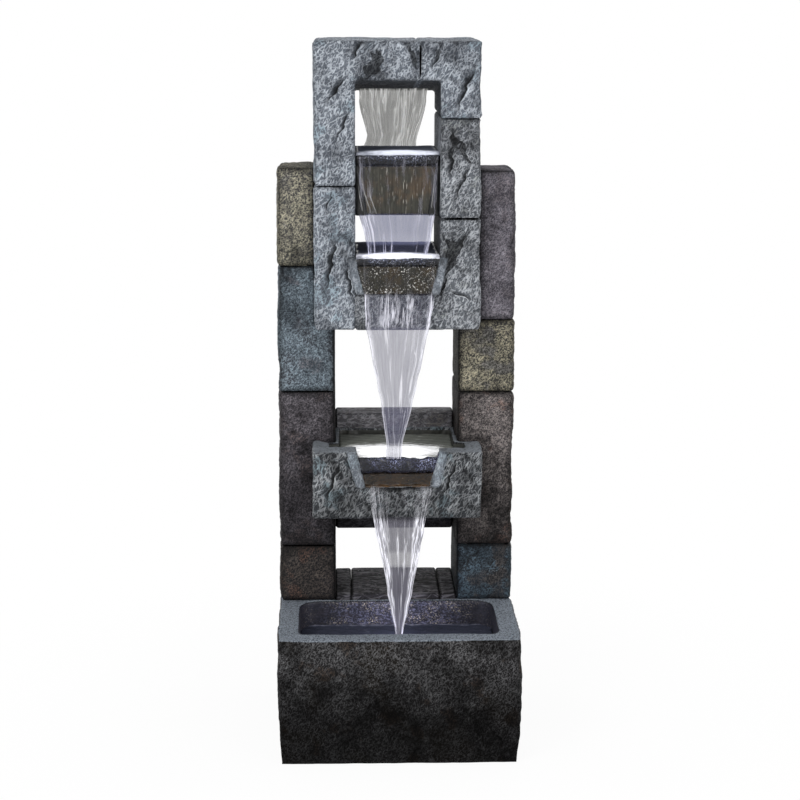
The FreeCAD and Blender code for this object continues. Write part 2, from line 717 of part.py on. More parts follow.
def cheeks(lip, foot):
    """Outlines of the two slanting cheeks beside a spout."""
    outlines = []
    for sign in ("-", ""):
        outlines.append([
            (mirrored(sign, "jamb_half + cheek_width"), lip),
            (mirrored(sign, "jamb_half"), lip),
            (mirrored(sign, "jamb_half - cheek_lean"), foot),
            (mirrored(sign, "jamb_half + cheek_width - cheek_lean"), foot),
        ])
    return outlines


def bowl_box(body, front, bottom, lip):
    """The open box of a bowl between the jambs, with a rear rim above its lip."""
    outer = ("-jamb_half", front, "jamb_half", "bowl_back")
    pad(body, "top", bottom, [outer], f"{lip} + back_rise - {bottom}")
    inner = ("-jamb_half + bowl_wall", f"{front} + bowl_wall", "jamb_half - bowl_wall",
             "bowl_back - bowl_wall")
    depth = f"{lip} + back_rise - {bottom} - bowl_wall"
    cut(body, "top", f"{lip} + back_rise", [inner], depth)
    lowered = ("-jamb_half", front, "jamb_half", f"{front} + bowl_wall")
    cut(body, "top", f"{lip} + back_rise", [lowered], "back_rise")


def make_bowls():
    """The upper and the middle bowl, which hang between the jambs of the frame."""
    body = new_body("bowl_upper")
    bowl_box(body, "upper_front", "upper_bottom", "upper_lip")
    head, outlines = "upper_lip - upper_nose", []
    for sign in ("-", ""):
        outlines.append([
            (mirrored(sign, "jamb_half"), "upper_bottom"), (mirrored(sign, "jamb_half"), head),
            (mirrored(sign, "jamb_half - upper_cheek"), head),
            (mirrored(sign, "jamb_half - upper_cheek - cheek_lean"), "upper_bottom"),
        ])
    pad(body, "front", "-upper_front", outlines, "nose_reach / 2")
    add_nose(body, "upper_front", "upper_lip", "upper_nose", "jamb_half")
    hole = ("first_lead", "upper_bottom + bowl_wall + lead_rise", "grommet_radius")
    cut(body, "side", "-jamb_half + bowl_wall", [hole], "bowl_wall")

    body = new_body("bowl_middle")
    bowl_box(body, "frame_front", "cill_level", "middle_lip")
    pad(body, "front", "-frame_front", cheeks("middle_lip", "cill_level"), "cheek_reach")
    add_nose(body, "frame_front", "middle_lip", "middle_nose", "jamb_half - cheek_lean / 4")
    hole = ("first_lead + lead_pitch", "cill_level + bowl_wall + lead_rise", "grommet_radius")
    cut(body, "side", "-jamb_half + bowl_wall", [hole], "bowl_wall")


def make_tray():
    """The wide tray: its front stands before the columns and its rear reaches the beam."""
    body = new_body("tray")
    plan = [
        ("-tray_half", "tray_front"), ("tray_half", "tray_front"),
        ("tray_half", "column_front"), ("gap_half", "column_front"),
        ("gap_half", "beam_front"), ("-gap_half", "beam_front"),
        ("-gap_half", "column_front"), ("-tray_half", "column_front"),
    ]
    pad(body, "top", "tray_bottom", [plan], "tray_height")

    def outer_front(edge):
        return edge.BoundBox.YMax < value("tray_front") + TOUCH

    soften(body, "Chamfer", "worn_edge", outer_front)
    side, rear = "tray_half - tray_side", "gap_half - bowl_wall"
    face, back = "tray_front + tray_face", "column_front - bowl_wall"
    pool = [
        (f"-({side})", face), (side, face), (side, back), (rear, back),
        (rear, "beam_front - bowl_wall"), (f"-({rear})", "beam_front - bowl_wall"),
        (f"-({rear})", back), (f"-({side})", back),
    ]
    cut(body, "top", "tray_rim", [pool], "tray_height - tray_floor")
    lowered = ("-jamb_half", "tray_front - 1", "jamb_half", face)
    cut(body, "top", "tray_rim", [lowered], "tray_dip")
    notch = [
        ("-jamb_half", "tray_rim"), ("-(jamb_half - cheek_lean)", "notch_foot"),
        ("jamb_half - cheek_lean", "notch_foot"), ("jamb_half", "tray_rim"),
    ]
    cut(body, "front", "-tray_front", [notch], "notch_depth")
    panel = "tray_front + notch_depth"
    pad(body, "front", f"-({panel})", cheeks("tray_rim", "notch_foot"),
        "cheek_reach + notch_depth")
    add_nose(body, panel, "tray_lip", "tray_nose", "jamb_half - cheek_lean / 4")
    under = ("-gap_half + 2 * bowl_wall", "tray_front + 2 * bowl_wall",
             "gap_half - 2 * bowl_wall", "beam_front - bowl_wall")
    cut(body, "top", "tray_bottom", [under], "tray_floor - bowl_wall", upwards=True)
    hole = ("first_lead + 2 * lead_pitch", "pool_floor + lead_rise", "grommet_radius")
    cut(body, "side", "-gap_half + bowl_wall", [hole], "bowl_wall")


def make_trough():
    """The top trough inside the lintel, fed by the hose, with a slot in its floor for the fall."""
    body = new_body("top_trough")
    outer = ("-jamb_half", "trough_front", "jamb_half", "bowl_back")
    pad(body, "top", "trough_low", [outer], "trough_top - trough_low")
    inner = ("-jamb_half + bowl_wall", "trough_front + bowl_wall", "jamb_half - bowl_wall",
             "bowl_back - bowl_wall")
    cut(body, "top", "trough_top", [inner], "trough_top - trough_low - bowl_wall")
    slot = ("-slot_half", "slot_line - slot_width / 2", "slot_half", "slot_line + slot_width / 2")
    cut(body, "top", "trough_low + bowl_wall", [slot], "bowl_wall")
    hole = ("hose_y", "hose_mouth", "hose_radius + hose_fit")
    cut(body, "side", "jamb_half", [hole], "bowl_wall")


# ---------------------------------------------------------------- pump, made about +Z, laid along +X

INTAKE = ("intake_inner", "-intake_width / 2", "intake_inner + intake_length", "intake_width / 2")


def on_pump_axis(body, along):
    """Lays a pump piece along +X, with its origin at a distance from the volute's middle."""
    body.Placement.Rotation = FreeCAD.Rotation(Vector(0, 1, 0), 90)
    place(body, f"hose_x + {along}", "hose_y", "pump_axis")


def make_pump_shells():
    """Motor housing, volute with its nozzle, and the intake cover."""
    axis = ("0", "0")
    bore = "rotor_radius + rotor_gap"
    body = new_body("pump_motor_housing")
    square = ("-pump_half", "-pump_half", "pump_half", "pump_half")
    pad(body, "top", "-motor_length", [square], "motor_length")
    soften(body, "Chamfer", "pump_round", lambda edge: edge.BoundBox.ZMax < 0)
    cut(body, "top", "0", [axis + (bore,)], "rotor_length")
    cut(body, "top", "0", [axis + ("bush_radius",)], "rotor_length + bush_length")
    on_pump_axis(body, "-volute_length / 2")

    body = new_body("pump_volute")
    pad(body, "top", "0", [axis + ("volute_radius",)], "volute_length")
    spout = body.newObject("PartDesign::Pad", "Nozzle")
    neck = ("0", "volute_length / 2", "hose_bore - nozzle_fit")
    spout.Profile = draw(body, "side", "0", [neck])
    spout.setExpression("Length", linked("volute_radius + nozzle_length"))
    spout.Reversed = True
    body.Tip = spout
    document.recompute()
    cut(body, "top", "volute_length", [axis + ("volute_bore",)], "volute_length - volute_back")
    cut(body, "top", "volute_length", [axis + (bore,)], "volute_length")
    duct = ("0", "volute_length / 2", "nozzle_bore")
    cut(body, "side", "0", [duct], "volute_radius + nozzle_length")
    on_pump_axis(body, "-volute_length / 2")

    body = new_body("pump_intake_cover")
    pad(body, "top", "0", [axis + ("volute_radius",)], "cover_length")
    soften(body, "Chamfer", "cover_wall", at_level(value("cover_length")))
    depth = "cover_length - 2 * cover_wall"
    cut(body, "top", "0", [axis + ("volute_radius - cover_wall",)], depth, upwards=True)
    pad(body, "top", "0", [axis + ("bush_radius + cover_wall",)], "cover_length - cover_wall")
    cut(body, "top", "0", [axis + ("bush_radius",)], "bush_length", upwards=True)
    cut(body, "top", "cover_length", [axis + ("dial_pin + dial_fit",)], "2 * cover_wall")
    ring(body, cut(body, "top", "cover_length", [INTAKE], "2 * cover_wall"), "intake_count")
    on_pump_axis(body, "volute_length / 2")


def make_pump_insides():
    """Shaft, its two bushes, the impeller on its magnet rotor and the flow dial."""
    axis = ("0", "0")
    tail = "(-volute_length / 2 - rotor_length - bush_length)"
    body = new_body("pump_shaft")
    pad(body, "top", "0", [axis + ("shaft_radius",)],
        "rotor_length + volute_length + 2 * bush_length")
    on_pump_axis(body, tail)

    for label, along in (("shaft_bush_rear", tail), ("shaft_bush_front", "volute_length / 2")):
        body = new_body(label)
        pad(body, "top", "0", [axis + ("bush_radius",), axis + ("shaft_radius",)], "bush_length")
        on_pump_axis(body, along)

    body = new_body("impeller")
    rotor = "rotor_length - 2 * end_gap"
    blades = "rotor_length + volute_back"
    whole = "rotor_length + volute_length - 2 * end_gap"
    pad(body, "top", "0", [axis + ("rotor_radius",)], f"{rotor} + volute_back")
    pad(body, "top", "0", [axis + ("hub_radius",)], whole)
    blade = ("0", "-blade_thickness / 2", "blade_radius", "blade_thickness / 2")
    ring(body, pad(body, "top", blades, [blade], "blade_length"), "blade_count")
    cut(body, "top", "0", [axis + ("shaft_radius + shaft_fit",)], whole, upwards=True)
    on_pump_axis(body, f"{tail} + bush_length + end_gap")

    body = new_body("flow_dial")
    pad(body, "top", "0", [axis + ("dial_radius",)], "dial_thickness")
    pad(body, "top", "-cover_wall", [axis + ("dial_pin",)], "cover_wall")
    ring(body, cut(body, "top", "dial_thickness", [INTAKE], "dial_thickness"), "intake_count")
    grip = ("-dial_radius * 0.8", "-0.75 * dial_pin", "dial_radius * 0.8", "0.75 * dial_pin")
    pad(body, "top", "dial_thickness", [grip], "dial_thickness")
    on_pump_axis(body, "volute_length / 2 + cover_length + dial_gap")


def make_feet():
    """Four suction feet under the motor housing, as one group."""
    solids = []
    radius, height, spread = value("foot_radius"), value("foot_height"), value("foot_spread")
    middle = value("hose_x - volute_length / 2 - motor_length / 2")
    for x in (middle - spread, middle + spread):
        for y in (value("hose_y") - spread, value("hose_y") + spread):
            base = Vector(x, y, value("floor_level"))
            solids.append(Part.makeCone(radius, radius / 2, height, base))
    add_shape("suction_feet", Part.makeCompound(solids))


# ---------------------------------------------------------------- hose, lamps and leads


def add_shape(label, shape):
    """Puts a finished shape in the document as a sub-part."""
    feature = document.addObject("Part::Feature", label)
    feature.Shape = shape
    subparts.append(feature)


def rod(points, bend, radius):
    """A many-sided rod along straight runs through the points, with its bends in short steps."""
    path = [points[0]]
    for before, corner, after in zip(points, points[1:], points[2:]):
        back, ahead = (before - corner).normalize(), (after - corner).normalize()
        half = back.getAngle(ahead) / 2
        centre = corner + (back + ahead).normalize() * (bend / math.sin(half))
        arm = corner + back * (bend / math.tan(half)) - centre
        turn = (180 - math.degrees(2 * half)) / BEND_STEPS
        axis = ahead.cross(back)
        for k in range(BEND_STEPS + 1):
            path.append(centre + FreeCAD.Rotation(axis, k * turn).multVec(arm))
    path.append(points[-1])
    facing = FreeCAD.Rotation(Vector(0, 0, 1), path[1] - path[0])
    ring_points = []
    for k in range(CORD_SIDES + 1):
        angle = 2 * math.pi * (k % CORD_SIDES + 0.5) / CORD_SIDES
        ring_points.append(facing.multVec(Vector(math.cos(angle), math.sin(angle), 0)) * radius)
    profile = Part.makePolygon([path[0] + point for point in ring_points])
    shape = Part.makePolygon(path).makePipeShell([profile], True, False, 1)
    length = sum((b - a).Length for a, b in zip(path, path[1:]))
    section = CORD_SIDES / 2 * math.sin(2 * math.pi / CORD_SIDES) * radius**2
    if abs(shape.Volume / (section * length) - 1) > 0.001:
        raise RuntimeError(f"a rod has {shape.Volume / (section * length):.3f} of its volume")
    return shape


def make_hose():
    """The riser hose from the pump's nozzle into the top trough, and the clip that holds it."""
    x, y, low, mouth = (value(name) for name in ("hose_x", "hose_y", "hose_low", "hose_mouth"))
    end = value("jamb_half - bowl_wall - mouth_reach")
    points = [Vector(x, y, low), Vector(x, y, mouth), Vector(end, y, mouth)]
    bend, outer = value("hose_bend"), value("hose_radius")
    bore = value("hose_bore") / math.cos(math.pi / CORD_SIDES)
    tube = rod(points, bend, outer).cut(rod(points, bend, bore))
    add_shape("riser_hose", tube)

    radius, height = outer + value("clip_thickness"), value("clip_height")
    base = Vector(x, y, low + value("clip_setback"))
    band = Part.makeCylinder(radius, height, base)
    ear = Part.makeBox(value("hose_radius + 3 * clip_thickness"), value("2 * clip_thickness"),
                       height, base - Vector(0, value("clip_thickness"), 0))
    clip = band.fuse(ear).cut(Part.makeCylinder(outer, height, base))
    add_shape("hose_clip", clip.removeSplitter())


def lamp_places():
    """Where each lamp stands: name, Y position and floor level."""
    return (
        ("upper", "first_lead", "upper_bottom + bowl_wall"),
        ("middle", "first_lead + lead_pitch", "cill_level + bowl_wall"),
        ("tray", "first_lead + 2 * lead_pitch", "pool_floor"),
        ("basin", "basin_lamp", "floor_level"),
    )


def make_lamps():
    """A housing and a domed lens for each of the four lamps."""
    for name, y, level in lamp_places():
        body = new_body(f"lamp_housing_{name}")
        revolve(body, [
            ("0", "0"), ("lamp_radius", "0"), ("lamp_radius", "lamp_height"),
            ("lens_radius", "lamp_height"), ("lens_radius", "lens_level"), ("0", "lens_level"),
        ])
        lead = ("0", "lead_rise", "lead_radius")
        cut(body, "side", "-lamp_radius + lead_entry", [lead], "lead_entry")
        place(body, "0", y, level)
        body = new_body(f"lamp_lens_{name}")
        revolve(body, [
            ("0", "lens_level"), ("lens_radius", "lens_level"),
            ("lens_radius", "lens_level + lens_height"), ("0", "lens_level + lens_height"),
        ])
        place(body, "0", y, level)


def grommet(base, direction, depth):
    """A rubber grommet with a flange on the wet side of a wall."""
    thick = value("flange_thickness")
    outside = base - direction * thick
    neck = Part.makeCylinder(value("grommet_radius"), depth, base, direction)
    flange = Part.makeCylinder(value("grommet_flange"), thick, outside, direction)
    hole = Part.makeCylinder(value("lead_radius"), depth + thick, outside, direction)
    return neck.fuse(flange).cut(hole).removeSplitter()


def make_leads():
    """The lamp leads down the hollow left column, their grommets and the splitter."""
    x, bend = -value("hose_x"), value("lead_bend")
    radius, rise = value("lead_radius"), value("lead_rise")
    start, top = -value("lamp_radius - lead_entry"), value("splitter_level + splitter_height")
    left = Vector(-1, 0, 0)
    faces = {"upper": "jamb_half", "middle": "jamb_half", "tray": "gap_half"}
    grommets = []
    for name, y_text, level in lamp_places()[:3]:
        y, z = value(y_text), value(level) + rise
        points = [Vector(start, y, z), Vector(x, y, z), Vector(x, y, top)]
        add_shape(f"lamp_lead_{name}", rod(points, bend, radius))
        base = Vector(-value(f"{faces[name]} - bowl_wall"), y, z)
        grommets.append(grommet(base, left, value("bowl_wall + wall")))

    y, z = value("basin_lamp"), value("floor_level") + rise
    end = value("chamber_front + splitter_depth / 2")
    points = [Vector(start, y, z), Vector(x, y, z), Vector(x, end, z),
              Vector(x, end, value("splitter_level"))]
    add_shape("lamp_lead_basin", rod(points, bend, radius))
    base = Vector(x, value("column_front"), z)
    grommets.append(grommet(base, Vector(0, 1, 0), value("partition")))
    add_shape("lead_grommets", Part.makeCompound(grommets))

    body = new_body("lead_splitter")
    plan = ("-hose_x - splitter_half", "chamber_front", "-hose_x + splitter_half",
            "chamber_front + splitter_depth")
    pad(body, "top", "splitter_level", [plan], "splitter_height")
    soften(body, "Chamfer", "sill_edge", upright)

    body = new_body("cable_gland")
    reach = "partition + flange_thickness"
    revolve(body, [
        ("gland_bore", "0"), ("gland_neck", "0"), ("gland_neck", "partition"),
        ("gland_flange", "partition"), ("gland_flange", reach), ("gland_bore", reach),
    ])
    body.Placement.Rotation = FreeCAD.Rotation(Vector(1, 0, 0), 90)
    place(body, "-gland_offset", "back_face", "gland_level")


# ---------------------------------------------------------------- build, check and write


def check(thing):
    """Stops the build if an object failed or a sub-part's shape isn't sound."""
    shape = thing.Shape
    if shape.isNull() or not shape.isValid() or not shape.Solids:
        raise RuntimeError(f"{thing.Label} has no sound shape")


def main():
    """Builds the fountain and writes one STEP file for each sub-part."""
    fill_sheet()
    make_basin()
    make_columns()
    make_sill()
    make_frame()
    make_bowls()
    make_tray()
    make_trough()
    make_pump_shells()
    make_pump_insides()
    make_feet()
    make_hose()
    make_lamps()
    make_leads()
    document.recompute()
    for thing in document.Objects:
        if {"Invalid", "Error"} & set(thing.State):
            raise RuntimeError(f"{thing.Label} failed: {thing.State}")
    for thing in subparts:
        check(thing)
    os.makedirs("parts", exist_ok=True)
    for thing in subparts:
        thing.Shape.exportStep(f"parts/{thing.Label}.step")
        print(f"{thing.Label}: {len(thing.Shape.Solids)} solid, {thing.Shape.Volume / 1000:.1f} cm3")


main()
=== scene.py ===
"""Stacked-stone cascade fountain: its stones, wet bowls, falls, lamps and pump, dressed over the
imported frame. Lengths are in metres, +X is the viewer's right, +Y the back and +Z up."""

from __future__ import annotations

import logging
import math
from dataclasses import dataclass, field
from enum import Enum, IntEnum
from functools import reduce
from typing import NamedTuple

import bmesh
import bpy
import numpy as np
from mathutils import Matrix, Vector

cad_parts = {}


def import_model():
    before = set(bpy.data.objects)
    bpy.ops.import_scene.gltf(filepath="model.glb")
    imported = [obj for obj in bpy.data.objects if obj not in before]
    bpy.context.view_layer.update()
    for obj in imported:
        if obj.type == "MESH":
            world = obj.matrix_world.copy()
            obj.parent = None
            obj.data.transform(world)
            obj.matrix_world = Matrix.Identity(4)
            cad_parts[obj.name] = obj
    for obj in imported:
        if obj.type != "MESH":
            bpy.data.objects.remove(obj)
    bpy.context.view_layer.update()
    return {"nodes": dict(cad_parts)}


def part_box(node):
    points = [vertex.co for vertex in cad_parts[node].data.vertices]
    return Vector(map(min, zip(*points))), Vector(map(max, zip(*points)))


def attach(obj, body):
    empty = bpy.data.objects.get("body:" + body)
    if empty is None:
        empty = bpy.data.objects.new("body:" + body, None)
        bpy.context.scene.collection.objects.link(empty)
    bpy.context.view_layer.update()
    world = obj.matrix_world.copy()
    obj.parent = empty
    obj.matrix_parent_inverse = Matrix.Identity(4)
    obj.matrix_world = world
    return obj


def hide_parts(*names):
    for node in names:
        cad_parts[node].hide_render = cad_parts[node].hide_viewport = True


LOG = logging.getLogger("fountain")
Colour = tuple[int, int, int]
Rect = tuple[float, float, float, float]


def linear(colour: Colour) -> tuple[float, float, float]:
    """Turns a colour as a painter's chart gives it, 0 to 255, into the linear one shaders take.

    Args:
        colour: the chart's red, green and blue.

    Returns:
        The linear colour.
    """
    parts = [c / 255 for c in colour]
    return tuple(c / 12.92 if c <= 0.04045 else ((c + 0.055) / 1.055) ** 2.4 for c in parts)


class Body(Enum):
    """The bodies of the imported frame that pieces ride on."""

    FOUNTAIN = "fountain"
    LID = "pump_lid"


# ---------------------------------------------------------------- node trees


class Value:
    """A number, vector or shader in a node tree, which sums can be written on."""

    def __init__(self, graph: Graph, socket: bpy.types.NodeSocket) -> None:
        """Takes the tree and the socket in it."""
        self.graph, self.socket = graph, socket

    def __add__(self, other: Value | float) -> Value:
        """The sum."""
        return self.graph.math("ADD", self, other)

    def __sub__(self, other: Value | float) -> Value:
        """The difference."""
        return self.graph.math("SUBTRACT", self, other)

    def __rsub__(self, other: float) -> Value:
        """What is left of a number."""
        return self.graph.math("SUBTRACT", other, self)

    def __mul__(self, other: Value | float) -> Value:
        """The product."""
        return self.graph.math("MULTIPLY", self, other)

    def __pow__(self, other: float) -> Value:
        """The power."""
        return self.graph.math("POWER", self, other)

    def __abs__(self) -> Value:
        """The number without its sign."""
        return self.graph.math("ABSOLUTE", self)

    def held(self) -> Value:
        """The number, held between 0 and 1."""
        return self.graph.math("ADD", self, 0.0, clamp=True)

    def span(self, low: float, high: float, to_low: float = 0, to_high: float = 1) -> Value:
        """Stretches the number between two limits to two others, held between them."""
        inputs = {0: self, 1: low, 2: high, 3: to_low, 4: to_high}
        return self.graph.get("ShaderNodeMapRange", inputs, interpolation_type="SMOOTHSTEP")


class Graph:
    """Writes a node tree in few words."""

    def __init__(self, tree: bpy.types.NodeTree) -> None:
        """Takes the tree to write in and empties it."""
        self.tree = tree
        tree.nodes.clear()

    def give(self, socket: bpy.types.NodeSocket, given: Value | float | tuple) -> None:
        """Sets a socket, or links another node's socket to it.

        Args:
            socket: the socket to fill.
            given: what it gets; three numbers for a colour are a chart's, four are linear.
        """
        if isinstance(given, Value):
            self.tree.links.new(given.socket, socket)
        elif socket.type == "RGBA" and len(given) == 3:
            socket.default_value = (*linear(given), 1)
        else:
            socket.default_value = given

    def add(self, kind: str, inputs: dict | None = None, **settings: object) -> bpy.types.Node:
        """Adds a node.

        Args:
            kind: the node's type.
            inputs: sockets by name or number, each with what it's given.
            **settings: the node's own settings.

        Returns:
            The node.
        """
        node = self.tree.nodes.new(kind)
        for name, setting in settings.items():
            setattr(node, name, setting)
        for name, given in (inputs or {}).items():
            self.give(node.inputs[name], given)
        return node

    def get(self, kind: str, inputs: dict | None = None, output: int | str = 0,
            **settings: object) -> Value:
        """Adds a node as add does, and returns one of its outputs."""
        return Value(self, self.add(kind, inputs, **settings).outputs[output])

    def math(self, operation: str, *values: Value | float, clamp: bool = False) -> Value:
        """The result of a sum on numbers."""
        inputs = dict(enumerate(values))
        return self.get("ShaderNodeMath", inputs, operation=operation, use_clamp=clamp)

    def most(self, *values: Value) -> Value:
        """The greatest of some numbers."""
        return reduce(lambda one, two: self.math("MAXIMUM", one, two), values)

    def noise(self, vector: Value, scale: Value | float, detail: float = 3,
              roughness: float = 0.6, turn: Value | float = 0) -> Value:
        """Cloudy noise between 0 and 1.

        Args:
            vector: where to read it.
            scale: lumps per metre.
            detail: how many finer layers it has.
            roughness: how strong the finer layers are.
            turn: a number that picks another pattern.

        Returns:
            The noise.
        """
        inputs = {"Vector": vector, "W": turn, "Scale": scale, "Detail": detail,
                  "Roughness": roughness}
        return self.get("ShaderNodeTexNoise", inputs, noise_dimensions="4D")


class Paint(Graph):
    """A material's node tree with one Principled surface."""

    def __init__(self, name: str) -> None:
        """Makes the material, its surface and the place to read patterns at.

        Args:
            name: the material's name.
        """
        self.material = bpy.data.materials.new(name)
        self.material.use_nodes = True
        super().__init__(self.material.node_tree)
        self.surface = self.add("ShaderNodeBsdfPrincipled")
        self.add("ShaderNodeOutputMaterial", {0: Value(self, self.surface.outputs[0])})
        self.place = self.get("ShaderNodeTexCoord", output="Object")

    def set(self, **sockets: Value | float | tuple) -> None:
        """Gives the surface's sockets, with _ for each space in a name."""
        for name, given in sockets.items():
            self.give(self.surface.inputs[name.replace("_", " ")], given)

    def clouds(self, scale: float, detail: float = 3, roughness: float = 0.6,
               turn: float = 0) -> Value:
        """Noise read at the place on the object."""
        return self.noise(self.place, scale, detail, roughness, turn)

    def mix(self, factor: Value | float, first: Value | tuple, second: Value | tuple,
            way: str = "MIX") -> Value:
        """Mixes two colours.

        Args:
            factor: the share of the second one.
            first, second: the colours.
            way: how the second one is laid over the first.

        Returns:
            The colour.
        """
        inputs = {0: factor, 6: first, 7: second}
        return self.get("ShaderNodeMix", inputs, 2, data_type="RGBA", blend_type=way)

    def leaning(self, lean: float, stretch: float) -> Value:
        """A place whose patterns run lengthwise along a line that leans over from upright.

        Args:
            lean: degrees, positive for strokes whose top is to the right.
            stretch: how many times longer than wide the strokes are.

        Returns:
            The place.
        """
        inputs = {"Vector": self.place, "Rotation": (0, math.radians(lean), 0),
                  "Scale": (1, 1, stretch)}
        return self.get("ShaderNodeMapping", inputs, vector_type="TEXTURE")

    def part(self, vector: Value, axis: int) -> Value:
        """One number of a vector: 0 for X, 1 for Y, 2 for Z."""
        return self.get("ShaderNodeSeparateXYZ", {0: vector}, axis)

    def facing(self) -> Value:
        """How far the surface faces up, from -1 to 1."""
        return self.part(self.get("ShaderNodeNewGeometry", output="Normal"), 2)

    def attribute(self, name: str, output: str = "Fac") -> Value:
        """A number, or with "Vector" a place, stored on the mesh."""
        return self.get("ShaderNodeAttribute", output=output, attribute_name=name)

    def shaded(self, tint: Value | tuple, shade: Value) -> Value:
        """A colour made darker or lighter by a number."""
        grey = self.get("ShaderNodeCombineColor", {0: shade, 1: shade, 2: shade})
        return self.mix(1.0, tint, grey, "MULTIPLY")

    def hairlines(self, vector: Value, scale: float, turn: float, width: float) -> Value:
        """A net of fine curling lines, 1 on a line and 0 between them.

        Args:
            vector: where to read it.
            scale: meshes of the net per metre.
            turn: a number that picks another net.
            width: how far a line fades out to each side.

        Returns:
            The net.
        """
        return abs(self.noise(vector, scale, 1, 0.5, turn) - 0.5).span(width, 0.0)

    def bump(self, height: Value, distance: float, strength: float = 0.6) -> None:
        """Raises the surface's shading by a height."""
        inputs = {"Height": height, "Distance": distance, "Strength": strength}
        self.set(Normal=self.get("ShaderNodeBump", inputs))


# ---------------------------------------------------------------- finishes


MATERIALS: dict[str, bpy.types.Material] = {}


@dataclass(frozen=True)
class Finish:
    """A finish, whose material is painted the first time it's asked for."""

    name: str

    def material(self) -> bpy.types.Material:
        """Gives the finish's material.

        Returns:
            The material, the same one each time.
        """
        if self.name not in MATERIALS:
            paint = Paint(self.name)
            self.lay(paint)
            MATERIALS[self.name] = paint.material
        return MATERIALS[self.name]

    def lay(self, paint: Paint) -> None:
        """Writes the finish into its material's tree; each kind has its own."""


@dataclass(frozen=True)
class StoneFinish(Finish):
    """Cast stone: a dark wash in the hollows, a body colour, and fine dry-brushed lines.

    A fade is (foot, head, share of light at the foot), a cap (level, clear, mottled colour).
    """

    ground: Colour
    body: Colour
    brush: Colour
    fleck: Colour
    flecks: float = 0.3
    brushed: float = 0.7
    grain: float = 450
    lean: float = 40
    stretch: float = 2.0
    edge_shade: float = 0.45
    gloss: float = 0.15
    patch: Colour | None = None
    fade: tuple[float, float, float] | None = None
    cap: tuple[float, Colour, Colour] | None = None

    def lay(self, paint: Paint) -> None:
        """Paints the stone from the relief that the mesh carries and from its own grain.

        Args:
            paint: the material's tree.
        """
        clouds, grit = paint.clouds(30, turn=5), paint.clouds(520, 1, turn=8)
        relief, split, beside = (paint.attribute(name) for name in ("relief", "cleft", "rift"))
        high = relief * 0.35 + clouds
        lines = self._strokes(paint)
        # painted highlight on each cleft's crest, painted shade on the facet sloping into it and in
        # its crack
        ridge_highlight = abs(beside + 0.34).span(0.26, 0.06) * split * paint.clouds(70, 2, turn=15).span(
            0.38, 0.6)
        facet_shade = beside.span(1.6, 0.2) * split * beside.span(-0.1, 0.1)
        crack_shade = split * abs(beside).span(0.24, 0.05)
        brushing = lines * high.span(0.4, 0.9, 0.3, 1) * self.brushed * facet_shade.span(0, 1, 1, 0.25)
        few = self.flecks * 0.4
        chosen = paint.clouds(24, turn=12).span(0.66 - few, 0.74 - few)
        tint = paint.mix((ridge_highlight * 0.45 + brushing).held(), self._ground(paint, high, grit),
                         paint.mix(chosen, self.brush, self.fleck))
        shade = self._shade(paint, clouds) * relief.span(0.0, 0.3, 0.45, 1)
        shade = shade * crack_shade.span(0.9, 0.1, 0.12, 1) * facet_shade.span(1.0, 0.0, 0.5, 1)
        colour = paint.shaded(tint, shade)
        if self.cap:
            level, clear, mottled = self.cap
            above = paint.part(paint.place, 2).span(level - 0.003, level - 0.001)
            smooth = paint.mix((lines * 0.45 + grit).span(0.38, 0.72), clear, mottled)
            colour = paint.mix(above * paint.facing().span(0.5, 0.62), colour,
                               paint.shaded(smooth, paint.attribute("shade")))
        paint.set(Base_Color=colour, Specular_IOR_Level=self.gloss,
                  Roughness=lines.span(0, 1, 0.82, 0.6))
        paint.bump(clouds * 1.6 + grit * 0.7 + lines, 0.0012)

    def _ground(self, paint: Paint, high: Value, grit: Value) -> Value:
        """The colour under the brushing.

        Args:
            paint: the material's tree.
            high: how far each place stands out of the hollows.
            grit: the finest grain.

        Returns:
            The colour, darker in the hollows, with stains if there is a patch colour.
        """
        ground = paint.mix((grit * 0.9 + high).span(0.9, 1.4), self.ground, self.body)
        if not self.patch:
            return ground
        return paint.mix(paint.clouds(15, 2, 0.5, 20).span(0.48, 0.62), ground, self.patch)

    def _shade(self, paint: Paint, clouds: Value) -> Value:
        """How much light each place keeps, after its edges, its shelter and the fade.

        Args:
            paint: the material's tree.
            clouds: the noise that makes the fade wavy.

        Returns:
            The share of light.
        """
        edge = paint.attribute("edge")
        # painted shade towards each face's edges, and a thin darker line at the joints
        shade = edge.span(0, 1, self.edge_shade, 1) * edge.span(0, 0.3, 0.5, 1)
        shade = shade * paint.attribute("shade")
        if not self.fade:
            return shade
        foot, head, share = self.fade
        wavy = clouds * ((head - foot) * 0.8) + paint.part(paint.place, 2)
        rise = (head - foot) * 0.4
        return shade * wavy.span(foot + rise, head + rise, share, 1)

    def _strokes(self, paint: Paint) -> Value:
        """Short broken dashes of a dry brush in three directions, and a few curls.

        Args:
            paint: the material's tree.

        Returns:
            How much of the brush's colour each place takes.
        """
        made = []
        for turn, lean, finer, strength in ((1, 0, 1.0, 1.0), (2, -38, 1.25, 0.75),
                                            (3, 34, 1.15, 0.75)):
            along = paint.leaning(self.lean + lean, self.stretch)
            dashes = paint.noise(along, self.grain * finer, 1, 0.5, turn)
            made.append(dashes.span(0.56, 0.68, 0, strength))
        along = paint.leaning(self.lean, self.stretch / 2)
        return paint.most(*made, paint.hairlines(along, self.grain / 2, 9, 0.05) * 0.8)


